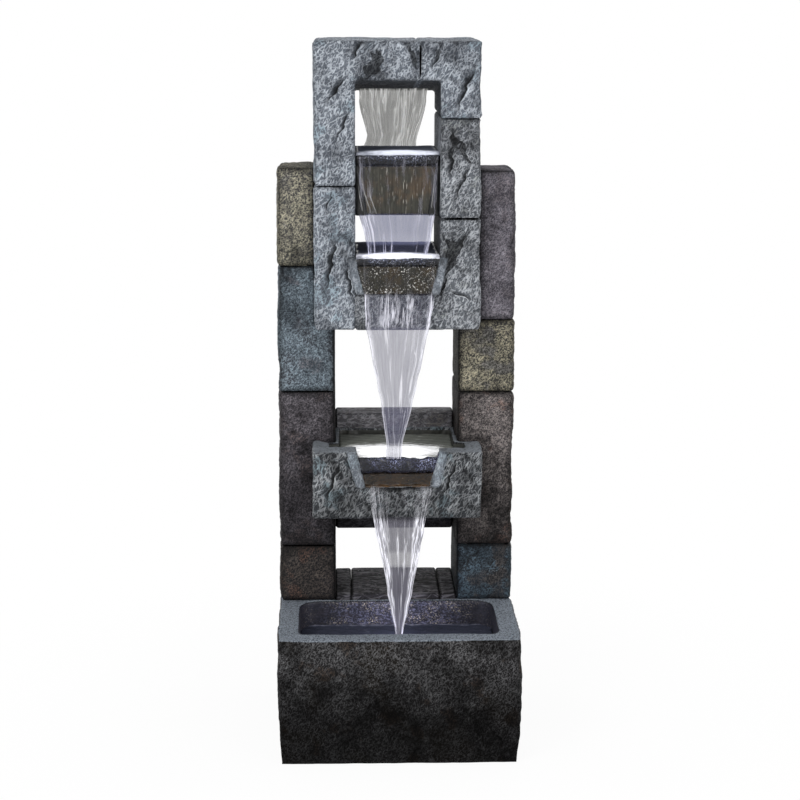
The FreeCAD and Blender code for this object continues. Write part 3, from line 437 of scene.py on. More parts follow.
@dataclass(frozen=True)
class WetFinish(Finish):
    """Dark stone under a running film, with painted lamp light that is brightest within its heart
    of (middle, half width).
    """

    base: Colour
    stain: Colour
    glint: Colour
    glints: float = 0.3
    stretch: float = 3.0
    grain: float = 190
    roughness: float = 0.14
    lit_speckle: Colour | None = None
    heart: tuple[float, float] = (0.0, 9.0)
    top_light: float = 0.0
    sheltered: bool = True
    swing: float = 0.42
    dim: float = 0.12

    def lay(self, paint: Paint) -> None:
        """Paints the wet stone, with its stains, mist, streaks and sparkles.

        Args:
            paint: the material's tree.
        """
        along = paint.leaning(0, self.stretch)
        strokes = paint.noise(along, self.grain)
        tint = paint.mix(paint.clouds(45, turn=3).span(0.42, 0.66), self.base, self.stain)
        # near is painted lamp light: full in the heart, falling to dim beyond it
        middle, half = self.heart
        away = abs(paint.part(paint.place, 0) - middle)
        near = away.span(half * 0.45, half, 1, self.dim)
        # lighter speckles of the wet stone, shown where the painted lamp light falls
        if self.lit_speckle:
            dots = paint.noise(along, self.grain * 1.2, 2, 0.7, 9).span(0.46, 0.64, 0, 0.85)
            tint = paint.mix(dots * near, tint, self.lit_speckle)
        least = 0.68 - 0.22 * self.glints
        lit = paint.noise(along, self.grain * 1.6, 2, 0.7, 7).span(least, least + 0.08)
        lit = lit * paint.clouds(40, 1, 0.5, 8).span(0.35, 0.65) * near
        shade = strokes.span(0.3, 0.7, 0.93 - self.swing, 0.93 + self.swing)
        shade = shade * near.span(self.dim, 1, 0.7, 1)
        if self.sheltered:
            shade = shade * paint.attribute("shade")
        # painted light from above: faces that look up are lighter and glint more
        if self.top_light:
            top = paint.facing().span(-0.6, 0.75)
            shade = shade * (top * self.top_light + 0.3)
            lit = lit * (top * 0.9 + 0.1)
        paint.set(Base_Color=paint.mix(lit, paint.shaded(tint, shade), self.glint),
                  Roughness=self.roughness, Coat_Weight=0.2, Coat_Roughness=0.25,
                  Specular_IOR_Level=0.3)
        paint.bump(strokes, 0.0015)


@dataclass(frozen=True)
class FilmFinish(Finish):
    """A falling film of water: a clear grey body, bright threads, and streams at its edges.

    Its cover is how much of what lies behind one side of the film is hidden.
    """

    tint: Colour
    thread: Colour
    cover: float
    threads: float = 0.4
    stream: float = 0.9
    glow: float = 0.3
    unrest: float = 0.15
    churn: float = 0.0
    grain: float = 230

    def lay(self, paint: Paint) -> None:
        """Paints the film from the numbers that its mesh carries.

        Args:
            paint: the material's tree.
        """
        flow = paint.attribute("flow", "Vector")
        rim, body, froth = (paint.attribute(name) for name in ("rim", "body", "froth"))
        streaks = paint.noise(flow, self.grain, 3, 0.65)
        fine = paint.noise(flow, self.grain * 2.2, 2, turn=4)
        few = 0.34 * self.threads
        kept = paint.noise(flow, self.grain * 0.45, 1, 0.5, 8).span(0.66 - few, 0.74 - few)
        nets = paint.most(paint.hairlines(flow, self.grain / 2, 5, 0.045),
                          paint.hairlines(flow, self.grain, 6, 0.06) * 0.8)
        churned = fine.span(0.5, 0.62, 0, self.churn) * froth.span(0.45, 0.65) * rim.span(0.8, 0.4)
        lines = paint.most(nets * kept, churned)
        streams = rim.span(self.stream - 0.2, self.stream) * fine.span(0.42, 0.58, 0.05, 1)
        colour = paint.mix(paint.most(lines, streams), self.tint, self.thread)
        clear = streaks.span(0.3, 0.7, self.cover * (1 - self.unrest),
                             self.cover * (1 + self.unrest))
        film = paint.most(clear * body, lines * froth, streams * (froth * 1.5).held())
        # the film glows in its own colour: painted light
        paint.set(Base_Color=colour, Emission_Color=colour, Emission_Strength=self.glow,
                  Alpha=paint.math("MINIMUM", film, 1.0), Roughness=0.3, IOR=1.2)
        paint.bump(streaks, 0.002, 0.5)


@dataclass(frozen=True)
class FoamFinish(Finish):
    """Lamp-lit churning water: white where it foams, dark and clear away from it."""

    still: Colour
    foam: Colour
    glow: float
    mirror: float = 1.0

    def lay(self, paint: Paint) -> None:
        """Paints the pool's surface from the foam that the mesh carries.

        Args:
            paint: the material's tree.
        """
        ripples = paint.noise(paint.leaning(90, 2.6), 150, 4, 0.7)
        white = (paint.attribute("foam") + (ripples * 1.3 - 0.65)).span(0.1, 0.85)
        # the water glows in its own colour where it foams: painted lamp light
        paint.set(Base_Color=paint.mix(white, self.still, self.foam), IOR=self.mirror,
                  Roughness=white.span(0, 1, 0.12, 0.5), Emission_Strength=self.glow,
                  Emission_Color=paint.mix(white, (0, 0, 0), self.foam))
        paint.bump(ripples, 0.004)


@dataclass(frozen=True)
class MouldedFinish(Finish):
    """Moulded plastic, rubber, metal or vinyl with a fine texture of its own."""

    base: Colour
    roughness: float = 0.5
    metallic: float = 0.0
    grain: float = 900
    depth: float = 0.0002
    alpha: float = 1.0
    transmission: float = 0.0

    def lay(self, paint: Paint) -> None:
        """Paints the piece, a little lighter where it's worn.

        Args:
            paint: the material's tree.
        """
        grain, wear = paint.clouds(self.grain, 2, 0.5), paint.clouds(60, turn=3)
        lighter = (*(min(1.0, c * 1.5 + 0.01) for c in linear(self.base)), 1.0)
        paint.set(Base_Color=paint.mix(wear.span(0.45, 0.8), self.base, lighter),
                  Roughness=grain.span(0.3, 0.7, self.roughness - 0.06, self.roughness + 0.06),
                  Metallic=self.metallic, Alpha=self.alpha, Transmission_Weight=self.transmission)
        paint.bump(grain, self.depth)


SLATE = StoneFinish(
    "frame_slate", (66, 70, 77), (106, 112, 121), (208, 215, 224), (178, 197, 209), 0.3, 0.85,
    grain=340, lean=28, stretch=3.6, edge_shade=0.8)
SLATE_WARM = StoneFinish(
    "frame_slate_warm", (60, 62, 66), (97, 101, 107), (204, 208, 214), (176, 180, 180), 0.3, 0.8,
    grain=340, lean=32, stretch=3.6, edge_shade=0.8)
TRAY_SLATE = StoneFinish(
    "tray_slate", (42, 43, 46), (72, 75, 79), (198, 202, 206), (152, 170, 178), 0.3, 0.8,
    grain=370, lean=32, stretch=5.5, edge_shade=0.8, fade=(0.322, 0.39, 0.42),
    cap=(0.424, (92, 96, 101), (122, 127, 133)))
CHEEK = StoneFinish(
    "cheek_slate", (88, 93, 100), (122, 129, 138), (206, 212, 220), (190, 206, 216), 0.3, 0.6,
    grain=340, lean=16, stretch=3.0, edge_shade=0.75)
OCHRE = StoneFinish(
    "block_ochre", (54, 54, 52), (90, 89, 84), (226, 219, 192), (184, 182, 176), 0.3, 0.8,
    patch=(76, 75, 75))
OCHRE_RIGHT = StoneFinish(
    "block_ochre_right", (44, 43, 42), (74, 73, 69), (208, 200, 172), (158, 155, 150), 0.35, 0.8,
    patch=(62, 61, 60))
BLUE = StoneFinish(
    "block_blue", (50, 55, 61), (80, 88, 96), (172, 190, 202), (146, 144, 150), 0.25, 0.72,
    patch=(62, 64, 70))
UMBER = StoneFinish(
    "block_umber", (40, 38, 41), (65, 63, 67), (148, 141, 148), (140, 126, 126), 0.25, 0.65,
    fade=(0.26, 0.44, 0.36))
BROWN = StoneFinish(
    "block_brown", (30, 29, 29), (46, 44, 45), (114, 104, 96), (132, 104, 90), 0.25, 0.6,
    patch=(34, 33, 34))
VIOLET = StoneFinish(
    "block_violet", (66, 64, 70), (102, 99, 107), (186, 180, 190), (170, 160, 166))
RUST = StoneFinish(
    "block_rust", (46, 43, 44), (78, 74, 75), (180, 170, 166), (180, 148, 134), 0.34,
    fade=(0.26, 0.44, 0.33))
BLUE_LOW = StoneFinish(
    "block_blue_low", (34, 38, 43), (52, 58, 65), (112, 136, 152), (104, 100, 98),
    patch=(38, 38, 40))
PLANK = StoneFinish(
    "sill_plank", (36, 35, 37), (56, 55, 58), (134, 132, 138), (118, 112, 112), 0.2, 0.85,
    grain=240, lean=84, stretch=9)
BEAM = StoneFinish(
    "rear_beam", (74, 73, 76), (108, 107, 111), (188, 186, 192), (150, 144, 138), 0.25,
    grain=320, lean=80, stretch=4, fade=(0.26, 0.34, 0.14))
BASIN = StoneFinish(
    "basin_charcoal", (21, 20, 20), (40, 39, 40), (140, 140, 142), (104, 90, 80), 0.25, 0.5,
    lean=26, stretch=2.6, edge_shade=0.9, gloss=0.05, patch=(30, 27, 24), fade=(0.06, 0.19, 0.2),
    cap=(0.183, (56, 62, 70), (136, 143, 152)))
LIT_WALL = WetFinish(
    "basin_lit_wall", (44, 45, 55), (58, 56, 64), (226, 214, 196), 0.6, stretch=0.8, grain=260,
    roughness=0.5, lit_speckle=(122, 124, 150), heart=(0.0, 0.125), sheltered=False, swing=0.15)
NOSE = WetFinish(
    "wet_nose", (9, 11, 18), (16, 22, 38), (214, 220, 244), 0.58, stretch=1.1, grain=330,
    lit_speckle=(64, 70, 96), heart=(0.0, 0.056), top_light=0.75, dim=0.0)
NOSE_TRAY = WetFinish(
    "wet_nose_tray", (24, 26, 38), (32, 34, 58), (168, 174, 216), 0.7, stretch=1.1, grain=330,
    lit_speckle=(72, 74, 100), heart=(0.012, 0.07), top_light=0.35)
PANEL = WetFinish(
    "wet_panel", (50, 49, 42), (70, 58, 44), (176, 172, 162), 0.35, stretch=11, grain=330)
PANEL_SPARKLING = WetFinish(
    "wet_panel_sparkling", (34, 32, 25), (50, 40, 24), (232, 230, 226), 0.48, stretch=1.2,
    grain=240)
PANEL_FLAT = WetFinish(
    "wet_lip", (70, 56, 42), (92, 68, 44), (140, 120, 96), 0.0, stretch=0.3, grain=120)
# the bowls' wet insides, darkened further as painted shade
WET_SHADED_INSIDE = WetFinish(
    "wet_shaded_inside", (22, 23, 24), (34, 34, 34), (90, 92, 90), 0.1, stretch=1, grain=150,
    roughness=0.4)
TRAY_INSIDE = WetFinish(
    "tray_inside", (58, 59, 56), (70, 70, 66), (120, 122, 116), 0.1, stretch=1, grain=150,
    roughness=0.4, sheltered=False, swing=0.2)
FILM_TOP = FilmFinish("film_top", (124, 124, 120), (255, 255, 252), 0.58, 0.78, 1.15, glow=0.35,
                      unrest=0.06)
FILM_LILAC = FilmFinish("film_lilac", (92, 95, 122), (214, 214, 232), 0.5, 0.3, 0.99, unrest=0.1)
FILM_LONG = FilmFinish("film_long", (100, 100, 118), (230, 230, 240), 0.4, 0.35, 0.98, churn=0.9)
FILM_LOW = FilmFinish("film_low", (100, 99, 108), (236, 236, 244), 0.6, 0.35, 0.68)
STRAND = FilmFinish("strand", (150, 150, 150), (230, 230, 232), 0.6, 0.0, 1.2, glow=0.5)
POOL_UPPER = FoamFinish("pool_upper", (112, 116, 128), (212, 216, 228), 0.3)
POOL_MIDDLE = FoamFinish("pool_middle", (104, 106, 118), (236, 237, 246), 0.6)
POOL_TRAY = FoamFinish("pool_tray", (126, 129, 122), (250, 250, 252), 0.9, 1.08)
POOL_BASIN = FoamFinish("pool_basin", (60, 63, 76), (196, 198, 220), 0.1, 1.06)
PUMP_BLACK = MouldedFinish("pump_black", (44, 45, 48), 0.45)
DIAL = MouldedFinish("pump_dial", (78, 80, 84), 0.3)
IMPELLER = MouldedFinish("impeller_grey", (120, 124, 130), 0.5)
SHAFT = MouldedFinish("shaft_ceramic", (226, 224, 218), 0.2, grain=2000, depth=0.00005)
RUBBER = MouldedFinish("black_rubber", (30, 30, 31), 0.75, grain=1400)
VINYL = MouldedFinish("hose_vinyl", (214, 220, 220), 0.15, alpha=0.55, grain=200)
STEEL = MouldedFinish("clip_steel", (180, 182, 184), 0.3, metallic=1.0, grain=2500)
LAMP_BLACK = MouldedFinish("lamp_black", (36, 36, 38), 0.4)
LENS = MouldedFinish("lamp_lens", (236, 242, 250), 0.05, transmission=0.9, grain=60)
CAST = MouldedFinish("trough_cast", (52, 52, 52), 0.7, grain=300, depth=0.0006)


# ---------------------------------------------------------------- objects and meshes


def placed(name: str, data: bpy.types.ID, place: tuple = (0, 0, 0)) -> bpy.types.Object:
    """A new object in the scene.

    Args:
        name: its name.
        data: its mesh, camera or light.
        place: where it stands.

    Returns:
        The object.
    """
    made = bpy.data.objects.new(name, data)
    made.location = place
    bpy.context.scene.collection.objects.link(made)
    return made


def evaluated(piece: bpy.types.Object) -> bpy.types.Mesh:
    """A new mesh of an object as its modifiers leave it.

    Args:
        piece: the object.

    Returns:
        The mesh.
    """
    bpy.context.view_layer.update()
    graph = bpy.context.evaluated_depsgraph_get()
    return bpy.data.meshes.new_from_object(piece.evaluated_get(graph))


def vectors(items: bpy.types.bpy_prop_collection, what: str) -> np.ndarray:
    """One place or direction for each vertex or face.

    Args:
        items: a mesh's vertices or faces.
        what: "co" or "center" for a place, "normal" for a direction.

    Returns:
        The vectors, one in each row.
    """
    numbers = np.empty(len(items) * 3, np.float32)
    items.foreach_get(what, numbers)
    return numbers.reshape(-1, 3)


def store(mesh: bpy.types.Mesh, name: str, values: np.ndarray) -> None:
    """Stores one number, or one place, for each point of a mesh.

    Args:
        mesh: the mesh.
        name: the attribute's name.
        values: the numbers, or the places in rows.
    """
    given = np.array(values, np.float32)
    kind, what = ("FLOAT_VECTOR", "vector") if given.ndim == 2 else ("FLOAT", "value")
    mesh.attributes.new(name, kind, "POINT").data.foreach_set(what, given.ravel())


def front_of(low_node: str, high_node: str | None = None) -> Rect:
    """Left, foot, right and head of one node, or of two together, as seen from the front.

    Args:
        low_node: the node, or the lower left one of two.
        high_node: the upper right one.

    Returns:
        The rectangle.
    """
    low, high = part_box(low_node)[0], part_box(high_node or low_node)[1]
    return low.x, low.z, high.x, high.z


# ---------------------------------------------------------------- the stones' relief


class Relief:
    """The rule that gives every stone its split and chiselled face, as one node tree."""

    INPUTS = (
        ("Lump Depth", 0.003), ("Lump Scale", 22.0), ("Chip Depth", 0.0012),
        ("Chip Scale", 110.0), ("Lean", 0.5), ("Stretch", 2.0), ("Cleft Depth", 0.004),
        ("Round Depth", 0.001), ("Outward", 0.5), ("Pattern", 0.0),
    )

    def __init__(self) -> None:
        """Builds the tree once for all stones."""
        self.tree = bpy.data.node_groups.new("stone_relief", "GeometryNodeTree")
        face = self.tree.interface
        for way in ("INPUT", "OUTPUT"):
            face.new_socket("Geometry", in_out=way, socket_type="NodeSocketGeometry")
        for name, value in self.INPUTS:
            socket = face.new_socket(name, in_out="INPUT", socket_type="NodeSocketFloat")
            socket.default_value = value
        face.new_socket("Finish", in_out="INPUT", socket_type="NodeSocketMaterial")
        self.keys = {item.name: item.identifier for item in face.items_tree
                     if item.in_out == "INPUT"}
        self._write(Graph(self.tree))

    def _write(self, graph: Graph) -> None:
        """Writes the rule: lumps, chips along a lean, clefts, then the relief each point has.

        Args:
            graph: the tree to write in.
        """
        given = {socket.name: Value(graph, socket)
                 for socket in graph.add("NodeGroupInput").outputs}
        push, cleft, open_air, edge = (
            graph.get("GeometryNodeInputNamedAttribute", {"Name": name}, data_type=kind)
            for name, kind in (("push", "FLOAT_VECTOR"), ("carved", "FLOAT"),
                               ("outside", "FLOAT"), ("edge", "FLOAT")))
        turned = graph.get(
            "ShaderNodeVectorRotate",
            {"Vector": graph.get("GeometryNodeInputPosition"), "Axis": (0, 1, 0),
             "Angle": given["Lean"]}, rotation_type="AXIS_ANGLE")
        inverse = graph.math("DIVIDE", 1.0, given["Stretch"])
        sizes = graph.get("ShaderNodeCombineXYZ", {0: 1.0, 1: 1.0, 2: inverse})
        along = graph.get("ShaderNodeVectorMath", {0: turned, 1: sizes}, operation="MULTIPLY")
        split, chipped = (
            graph.noise(along, given[scale], 2, roughness, given["Pattern"]).span(low, high)
            for scale, roughness, low, high in (("Lump Scale", 0.5, 0.36, 0.6),
                                                ("Chip Scale", 0.6, 0.3, 0.7)))
        lump, chip = given["Lump Depth"], given["Chip Depth"]
        sunk = (1.0 - chipped) * chip + (1.0 - split) * lump - (lump + chip) * given["Outward"]
        sunk = cleft * given["Cleft Depth"] + sunk
        sunk = (1.0 - edge) ** 2.0 * given["Round Depth"] + sunk
        offset = graph.get("ShaderNodeVectorMath", {0: push, "Scale": sunk * open_air * -1.0},
                           operation="SCALE")
        whole = (split * 0.55 + chipped * 0.45 - cleft ** 2.0 * 0.9).held()
        shape = given["Geometry"]
        for kind, inputs in (
                ("GeometryNodeStoreNamedAttribute", {"Name": "relief", "Value": whole}),
                ("GeometryNodeSetPosition", {"Offset": offset}),
                ("GeometryNodeRealizeInstances", {}),
                ("GeometryNodeSetMaterial", {"Material": given["Finish"]}),
                ("GeometryNodeSetShadeSmooth", {})):
            shape = graph.get(kind, {0: shape} | inputs)
        graph.add("NodeGroupOutput", {0: shape})

    def carve(self, rough: bpy.types.Object, finish: bpy.types.Material,
              **sizes: float) -> bpy.types.Mesh:
        """Runs the rule on a stone.

        Args:
            rough: the stone before carving, with what Stone.measure stores on it.
            finish: its material.
            **sizes: the tree's inputs, with _ for each space in a name.

        Returns:
            The carved mesh.
        """
        modifier = rough.modifiers.new("relief", "NODES")
        modifier.node_group = self.tree
        for name, default in self.INPUTS:
            modifier[self.keys[name]] = float(sizes.get(name.lower().replace(" ", "_"), default))
        modifier[self.keys["Finish"]] = finish
        mesh = evaluated(rough)
        rough.modifiers.remove(modifier)
        return mesh


Cleft = tuple[float, float, float, float, float]


@dataclass
class Stone:
    """One stone of the stack, carved over the solid of its node.

    A cleft runs from one X and Z to another, with a width. The blocks are the rectangles that
    an L-shaped face is made of, and before are those of what stands in front of the stone,
    whose painted shadow falls on it.
    """

    BURIED = 0.25
    CLOSED = 0.12
    LAP = 0.0006
    SETTLING = 0.02
    SHELTER = 0.02
    FOOT = 0.006

    node: str
    finish: Finish
    slot: str
    body: Body = Body.FOUNTAIN
    voxel: float = 0.0026
    clefts: tuple[Cleft, ...] = ()
    blocks: tuple[Rect, ...] = ()
    soft_edge: float = 0.011
    rind: float = 0.004
    inner: tuple[int, ...] = ()
    top_shade: float = 1.0
    top_relief: float = 1.0
    before: tuple[Rect, ...] = ()
    group: tuple[str, ...] = ()
    settle: tuple[float, float] = (0.0, 0.0)
    sizes: dict[str, float] = field(default_factory=dict)

    def rough(self, node: bpy.types.Object) -> bpy.types.Object:
        """An evenly meshed copy of the node's solid.

        Args:
            node: the node's object.

        Returns:
            The copy, ready for carving.
        """
        mesh = node.data.copy()
        work = bmesh.new()
        work.from_mesh(mesh)
        bmesh.ops.remove_doubles(work, verts=work.verts, dist=1e-5)
        work.to_mesh(mesh)
        work.free()
        copy = placed(f"{self.node}_rough", mesh)
        remesh = copy.modifiers.new("even", "REMESH")
        remesh.mode, remesh.voxel_size = "VOXEL", self.voxel
        even = evaluated(copy)
        copy.modifiers.remove(remesh)
        even.materials.clear()
        copy.data = even
        return copy

    def measure(self, mesh: bpy.types.Mesh) -> None:
        """Stores how near each point is to an edge, to a cleft, and to the open air, and its painted
        shade.

        Args:
            mesh: the stone's mesh before carving.
        """
        points, normals = vectors(mesh.vertices, "co"), vectors(mesh.vertices, "normal")
        low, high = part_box(self.node)
        front_rise, rear_drop = self.settle
        z, share = points[:, 2], (points[:, 1] - low.y) / (high.y - low.y)
        z += (front_rise * (1 - share) - rear_drop * share) * np.clip(
            (z - high.z + self.SETTLING) / self.SETTLING, 0, 1)
        values = {"edge": self._edge(points, normals)}
        values |= self._cracks(points, normals[:, 1] < -0.5)
        values |= self._air(points, normals)
        values["push"] = self._push(points, normals)
        mesh.vertices.foreach_set("co", points.ravel())
        for name, numbers in values.items():
            store(mesh, name, numbers)

    def _edge(self, points: np.ndarray, normals: np.ndarray) -> np.ndarray:
        """How far each point lies inside the edges of its face.

        Args:
            points, normals: places and directions of the stone's points.

        Returns:
            A number for each point, 0 on an edge and 1 well inside.
        """
        low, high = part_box(self.node)
        x, y, z = points.T
        inside = np.full(len(points), -1.0)
        for left, foot, right, head in self.blocks or (front_of(self.node),):
            reach = np.minimum.reduce([x - left, right - x, z - foot, head - z])
            inside = np.maximum(inside, reach)
        across = np.minimum(x - low.x, high.x - x)
        deep = np.minimum(y - low.y, high.y - y)
        tall = np.minimum(z - low.z, high.z - z)
        facing = np.abs(normals).argmax(axis=1)
        reach = np.choose(facing, (np.minimum(deep, tall), inside, np.minimum(across, deep)))
        return np.clip(reach / self.soft_edge, 0, 1)

    def _cracks(self, points: np.ndarray, front: np.ndarray) -> dict[str, np.ndarray]:
        """How strong the nearest cleft is, how deep it's carved and on which side it lies.

        Args:
            points: places of the stone's points.
            front: which of them face the front.

        Returns:
            What each point stores, by name.
        """
        count = len(points)
        cleft, carved = np.zeros(count), np.zeros(count)
        rift, nearest = np.full(count, 3.0), np.full(count, 9.0)
        x, _, z = points.T
        u = x + 0.0014 * np.sin(z * 260 + 2) + 0.0008 * np.sin(z * 610 - x * 190)
        v = z + 0.0012 * np.sin(x * 240 + 1)
        for ax, az, bx, bz, width in self.clefts:
            run = np.array([bx - ax, bz - az])
            share = np.clip(((u - ax) * run[0] + (v - az) * run[1]) / (run @ run), 0, 1)
            gap = np.hypot(u - ax - share * run[0], v - az - share * run[1])
            slope = (u - ax) * run[1] - (v - az) * run[0] > 0
            reach = width * np.where(slope, 2.2, 0.5)
            deepest = np.sin(np.pi * np.clip(share, 0.06, 0.94)) ** 0.5
            carved = np.maximum(carved, np.exp(-gap / reach) * deepest * front)
            away = gap / width
            closer = away < nearest
            nearest = np.where(closer, away, nearest)
            rift = np.where(closer, np.clip(np.where(slope, away, -away), -3, 3), rift)
            cleft = np.where(closer, np.clip(2.4 - away, 0, 1) * deepest * front, cleft)
        return {"cleft": cleft, "carved": carved, "rift": rift}

    def _air(self, points: np.ndarray, normals: np.ndarray) -> dict[str, np.ndarray]:
        """How much relief each point may have, and how much painted shade it gets.

        Args:
            points, normals: places and directions of the stone's points.

        Returns:
            What each point stores, by name.
        """
        low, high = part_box(self.node)
        x, y, z = points.T
        outside, shade = np.ones(len(points)), np.ones(len(points))
        within = ((x > low.x + self.rind) & (x < high.x - self.rind)
                  & (y > low.y + self.rind) & (y < high.y - self.rind))
        under = (normals[:, 2] < -0.5) & (z > low.z + self.rind)
        hidden = within & ((np.abs(normals[:, 2]) < 0.5) | under)
        for side in self.inner:
            hidden |= normals[:, 0] * side > 0.5
        # hidden faces get less relief and a painted shade
        outside[hidden], shade[hidden] = self.BURIED, self.BURIED
        # faces that look up get top_relief and the painted shade of top_shade
        top = normals[:, 2] > 0.5
        outside[top] *= self.top_relief
        shade[top] *= self.top_shade
        # front faces near what stands before the stone get its painted shadow
        for left, foot, right, head in self.before:
            gap = np.hypot(np.maximum(np.maximum(left - x, x - right), 0),
                           np.maximum(np.maximum(foot - z, z - head), 0))
            lit = 0.42 + 0.58 * np.clip(gap / self.SHELTER, 0, 1) ** 0.7
            shade *= np.where(normals[:, 1] < -0.5, lit, 1)
        return {"outside": outside, "shade": shade}

    def _push(self, points: np.ndarray, normals: np.ndarray) -> np.ndarray:
        """Finds which way the relief moves each point, and laps joined sides over each other.

        Args:
            points, normals: places and directions of the stone's points.

        Returns:
            A direction for each point, next to nothing where the stone joins its neighbours.
        """
        push = normals.copy()
        push[points[:, 2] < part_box(self.node)[0].z + self.FOOT, 2] = 0
        boxes = [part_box(name) for name in self.group]
        for axis in (0, 2) if boxes else ():
            least = min(box[0][axis] for box in boxes) + self.rind
            most = max(box[1][axis] for box in boxes) - self.rind
            joined = (points[:, axis] > least) & (points[:, axis] < most)
            push[joined, axis] *= self.CLOSED
            if axis == 0:
                points[joined, axis] += normals[joined, axis] * self.LAP
        return push

    def build(self, nodes: dict, relief: Relief) -> bpy.types.Object:
        """Carves and places the stone.

        Args:
            nodes: the frame's node objects.
            relief: the carving rule.

        Returns:
            The finished stone.
        """
        copy = self.rough(nodes[self.node])
        self.measure(copy.data)
        mesh = relief.carve(copy, self.finish.material(), **self.sizes)
        stone = placed(f"stone_{self.node}", mesh)
        bpy.data.objects.remove(copy)
        self.dress(mesh)
        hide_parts(self.node)
        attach(stone, self.body.value)
        LOG.info("%s: %d faces", stone.name, len(mesh.polygons))
        return stone

    def dress(self, mesh: bpy.types.Mesh) -> None:
        """Gives some faces another finish; a plain stone has none."""


# ---------------------------------------------------------------- columns, frame and sill


@dataclass
class Columns:
    """The blocks of both columns, pitted like weathered stone."""

    lumps: float = 0.0028
    chips: float = 0.0012
    top_settle: tuple[float, float] = (0.0015, 0.004)

    def stones(self) -> list[Stone]:
        """Plans the blocks.

        Returns:
            The blocks, each column from its top down.
        """
        kinds = (
            ("left_block_a", OCHRE, "ochre_stone"), ("left_block_b", BLUE, "blue_stone"),
            ("left_block_c", UMBER, "umber_stone"), ("left_block_d", BROWN, "rust_stone"),
            ("right_block_a", VIOLET, "violet_stone"),
            ("right_block_b", OCHRE_RIGHT, "ochre_stone"),
            ("right_block_c", RUST, "rust_stone"), ("right_block_d", BLUE_LOW, "blue_stone"),
        )
        # the frame and the tray paint their shadow on the blocks behind them
        before = (front_of("frame_stone_bottom", "frame_stone_top_right"), front_of("tray"))
        sizes = {"lump_depth": self.lumps, "chip_depth": self.chips, "lean": 0.7, "stretch": 1.3,
                 "chip_scale": 150.0, "round_depth": 0.0018}
        return [Stone(node, finish, slot, sizes=dict(sizes, pattern=3.0 + number),
                      soft_edge=0.012, inner=(1 if node.startswith("left") else -1,),
                      top_shade=0.6, before=before,
                      group=tuple(name for name, _, _ in kinds if name[:5] == node[:5]),
                      settle=self.top_settle if node.endswith("_a") else (0.0, 0.0))
                for number, (node, finish, slot) in enumerate(kinds)]


@dataclass
class Frame:
    """The five slate stones of the frame, split along diagonal clefts."""

    lumps: float = 0.0042
    chips: float = 0.0014
    lintel: float = 0.054

    def stones(self) -> list[Stone]:
        """Plans the stones, each with its blocks and the clefts that split its face.

        Returns:
            The five stones.
        """
        sizes = {"lump_depth": self.lumps, "chip_depth": self.chips, "lean": 0.5,
                 "stretch": 2.6, "lump_scale": 24.0, "chip_scale": 120.0, "outward": 0.25,
                 "round_depth": 0.0004}
        left, foot, right, head = front_of("frame_stone_top_left")
        beside, low_right = front_of("frame_stone_top_right"), front_of("frame_stone_bottom")
        jamb, cill = front_of("frame_stone_left")[2], front_of("bowl_middle")[1]
        lintel = head - self.lintel
        # the last cleft of the left and of the bottom stone runs beside a cheek of the middle bowl:
        # it carves a groove and paints the shade beside it
        plan = {
            "top_left": (
                SLATE, ((left, foot, jamb, head), (left, lintel, right, head)),
                (-0.022, 0.974, -0.043, 0.946, 0.004), (-0.066, 0.905, -0.085, 0.864, 0.004),
                (-0.072, 0.950, -0.098, 0.914, 0.006), (-0.05, 0.998, -0.062, 0.975, 0.005),
                (0.018, 0.988, 0.026, 0.962, 0.004)),
            "top_right": (
                SLATE, ((beside[0], lintel, *beside[2:]), (-jamb, *beside[1:])),
                (0.108, 0.965, 0.082, 0.905, 0.007), (0.06, 0.99, 0.048, 0.962, 0.004)),
            "right": (
                SLATE_WARM, (), (0.088, 0.862, 0.102, 0.828, 0.004),
                (0.102, 0.828, 0.08, 0.782, 0.004), (0.078, 0.86, 0.074, 0.81, 0.005)),
            "left": (
                SLATE, (), (-0.092, 0.79, -0.1, 0.765, 0.003),
                (-0.086, 0.722, -0.1, 0.655, 0.006), (-0.072, 0.69, -0.062, 0.636, 0.004)),
            "bottom": (
                SLATE_WARM, ((*low_right[:3], cill), (-jamb, *low_right[1:])),
                (0.1, 0.735, 0.066, 0.668, 0.006), (0.102, 0.64, 0.075, 0.652, 0.004),
                (0.0735, 0.688, 0.0605, 0.636, 0.003)),
        }
        group = tuple(f"frame_stone_{name}" for name in plan)
        return [Stone(node, finish, "frame_stone", clefts=tuple(clefts), blocks=blocks,
                      sizes=dict(sizes, pattern=20.0 + number), soft_edge=0.005, top_shade=0.8,
                      top_relief=0.3, group=group)
                for number, (node, (finish, blocks, *clefts)) in enumerate(
                    zip(group, plan.values()))]


class Plank(Stone):
    """A plank of the sill, whose joints close to a hair below their worn edges."""

    WORN = 0.003
    HAIR = 0.0004

    def dress(self, mesh: bpy.types.Mesh) -> None:
        """Draws the sides out to the joints.

        Args:
            mesh: the carved plank.
        """
        low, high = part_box(self.node)
        for vertex in mesh.vertices:
            side = vertex.normal.x
            if abs(side) > 0.5 and vertex.co.z < high.z - self.WORN:
                vertex.co.x = (low.x if side < 0 else high.x) + math.copysign(self.HAIR, side)


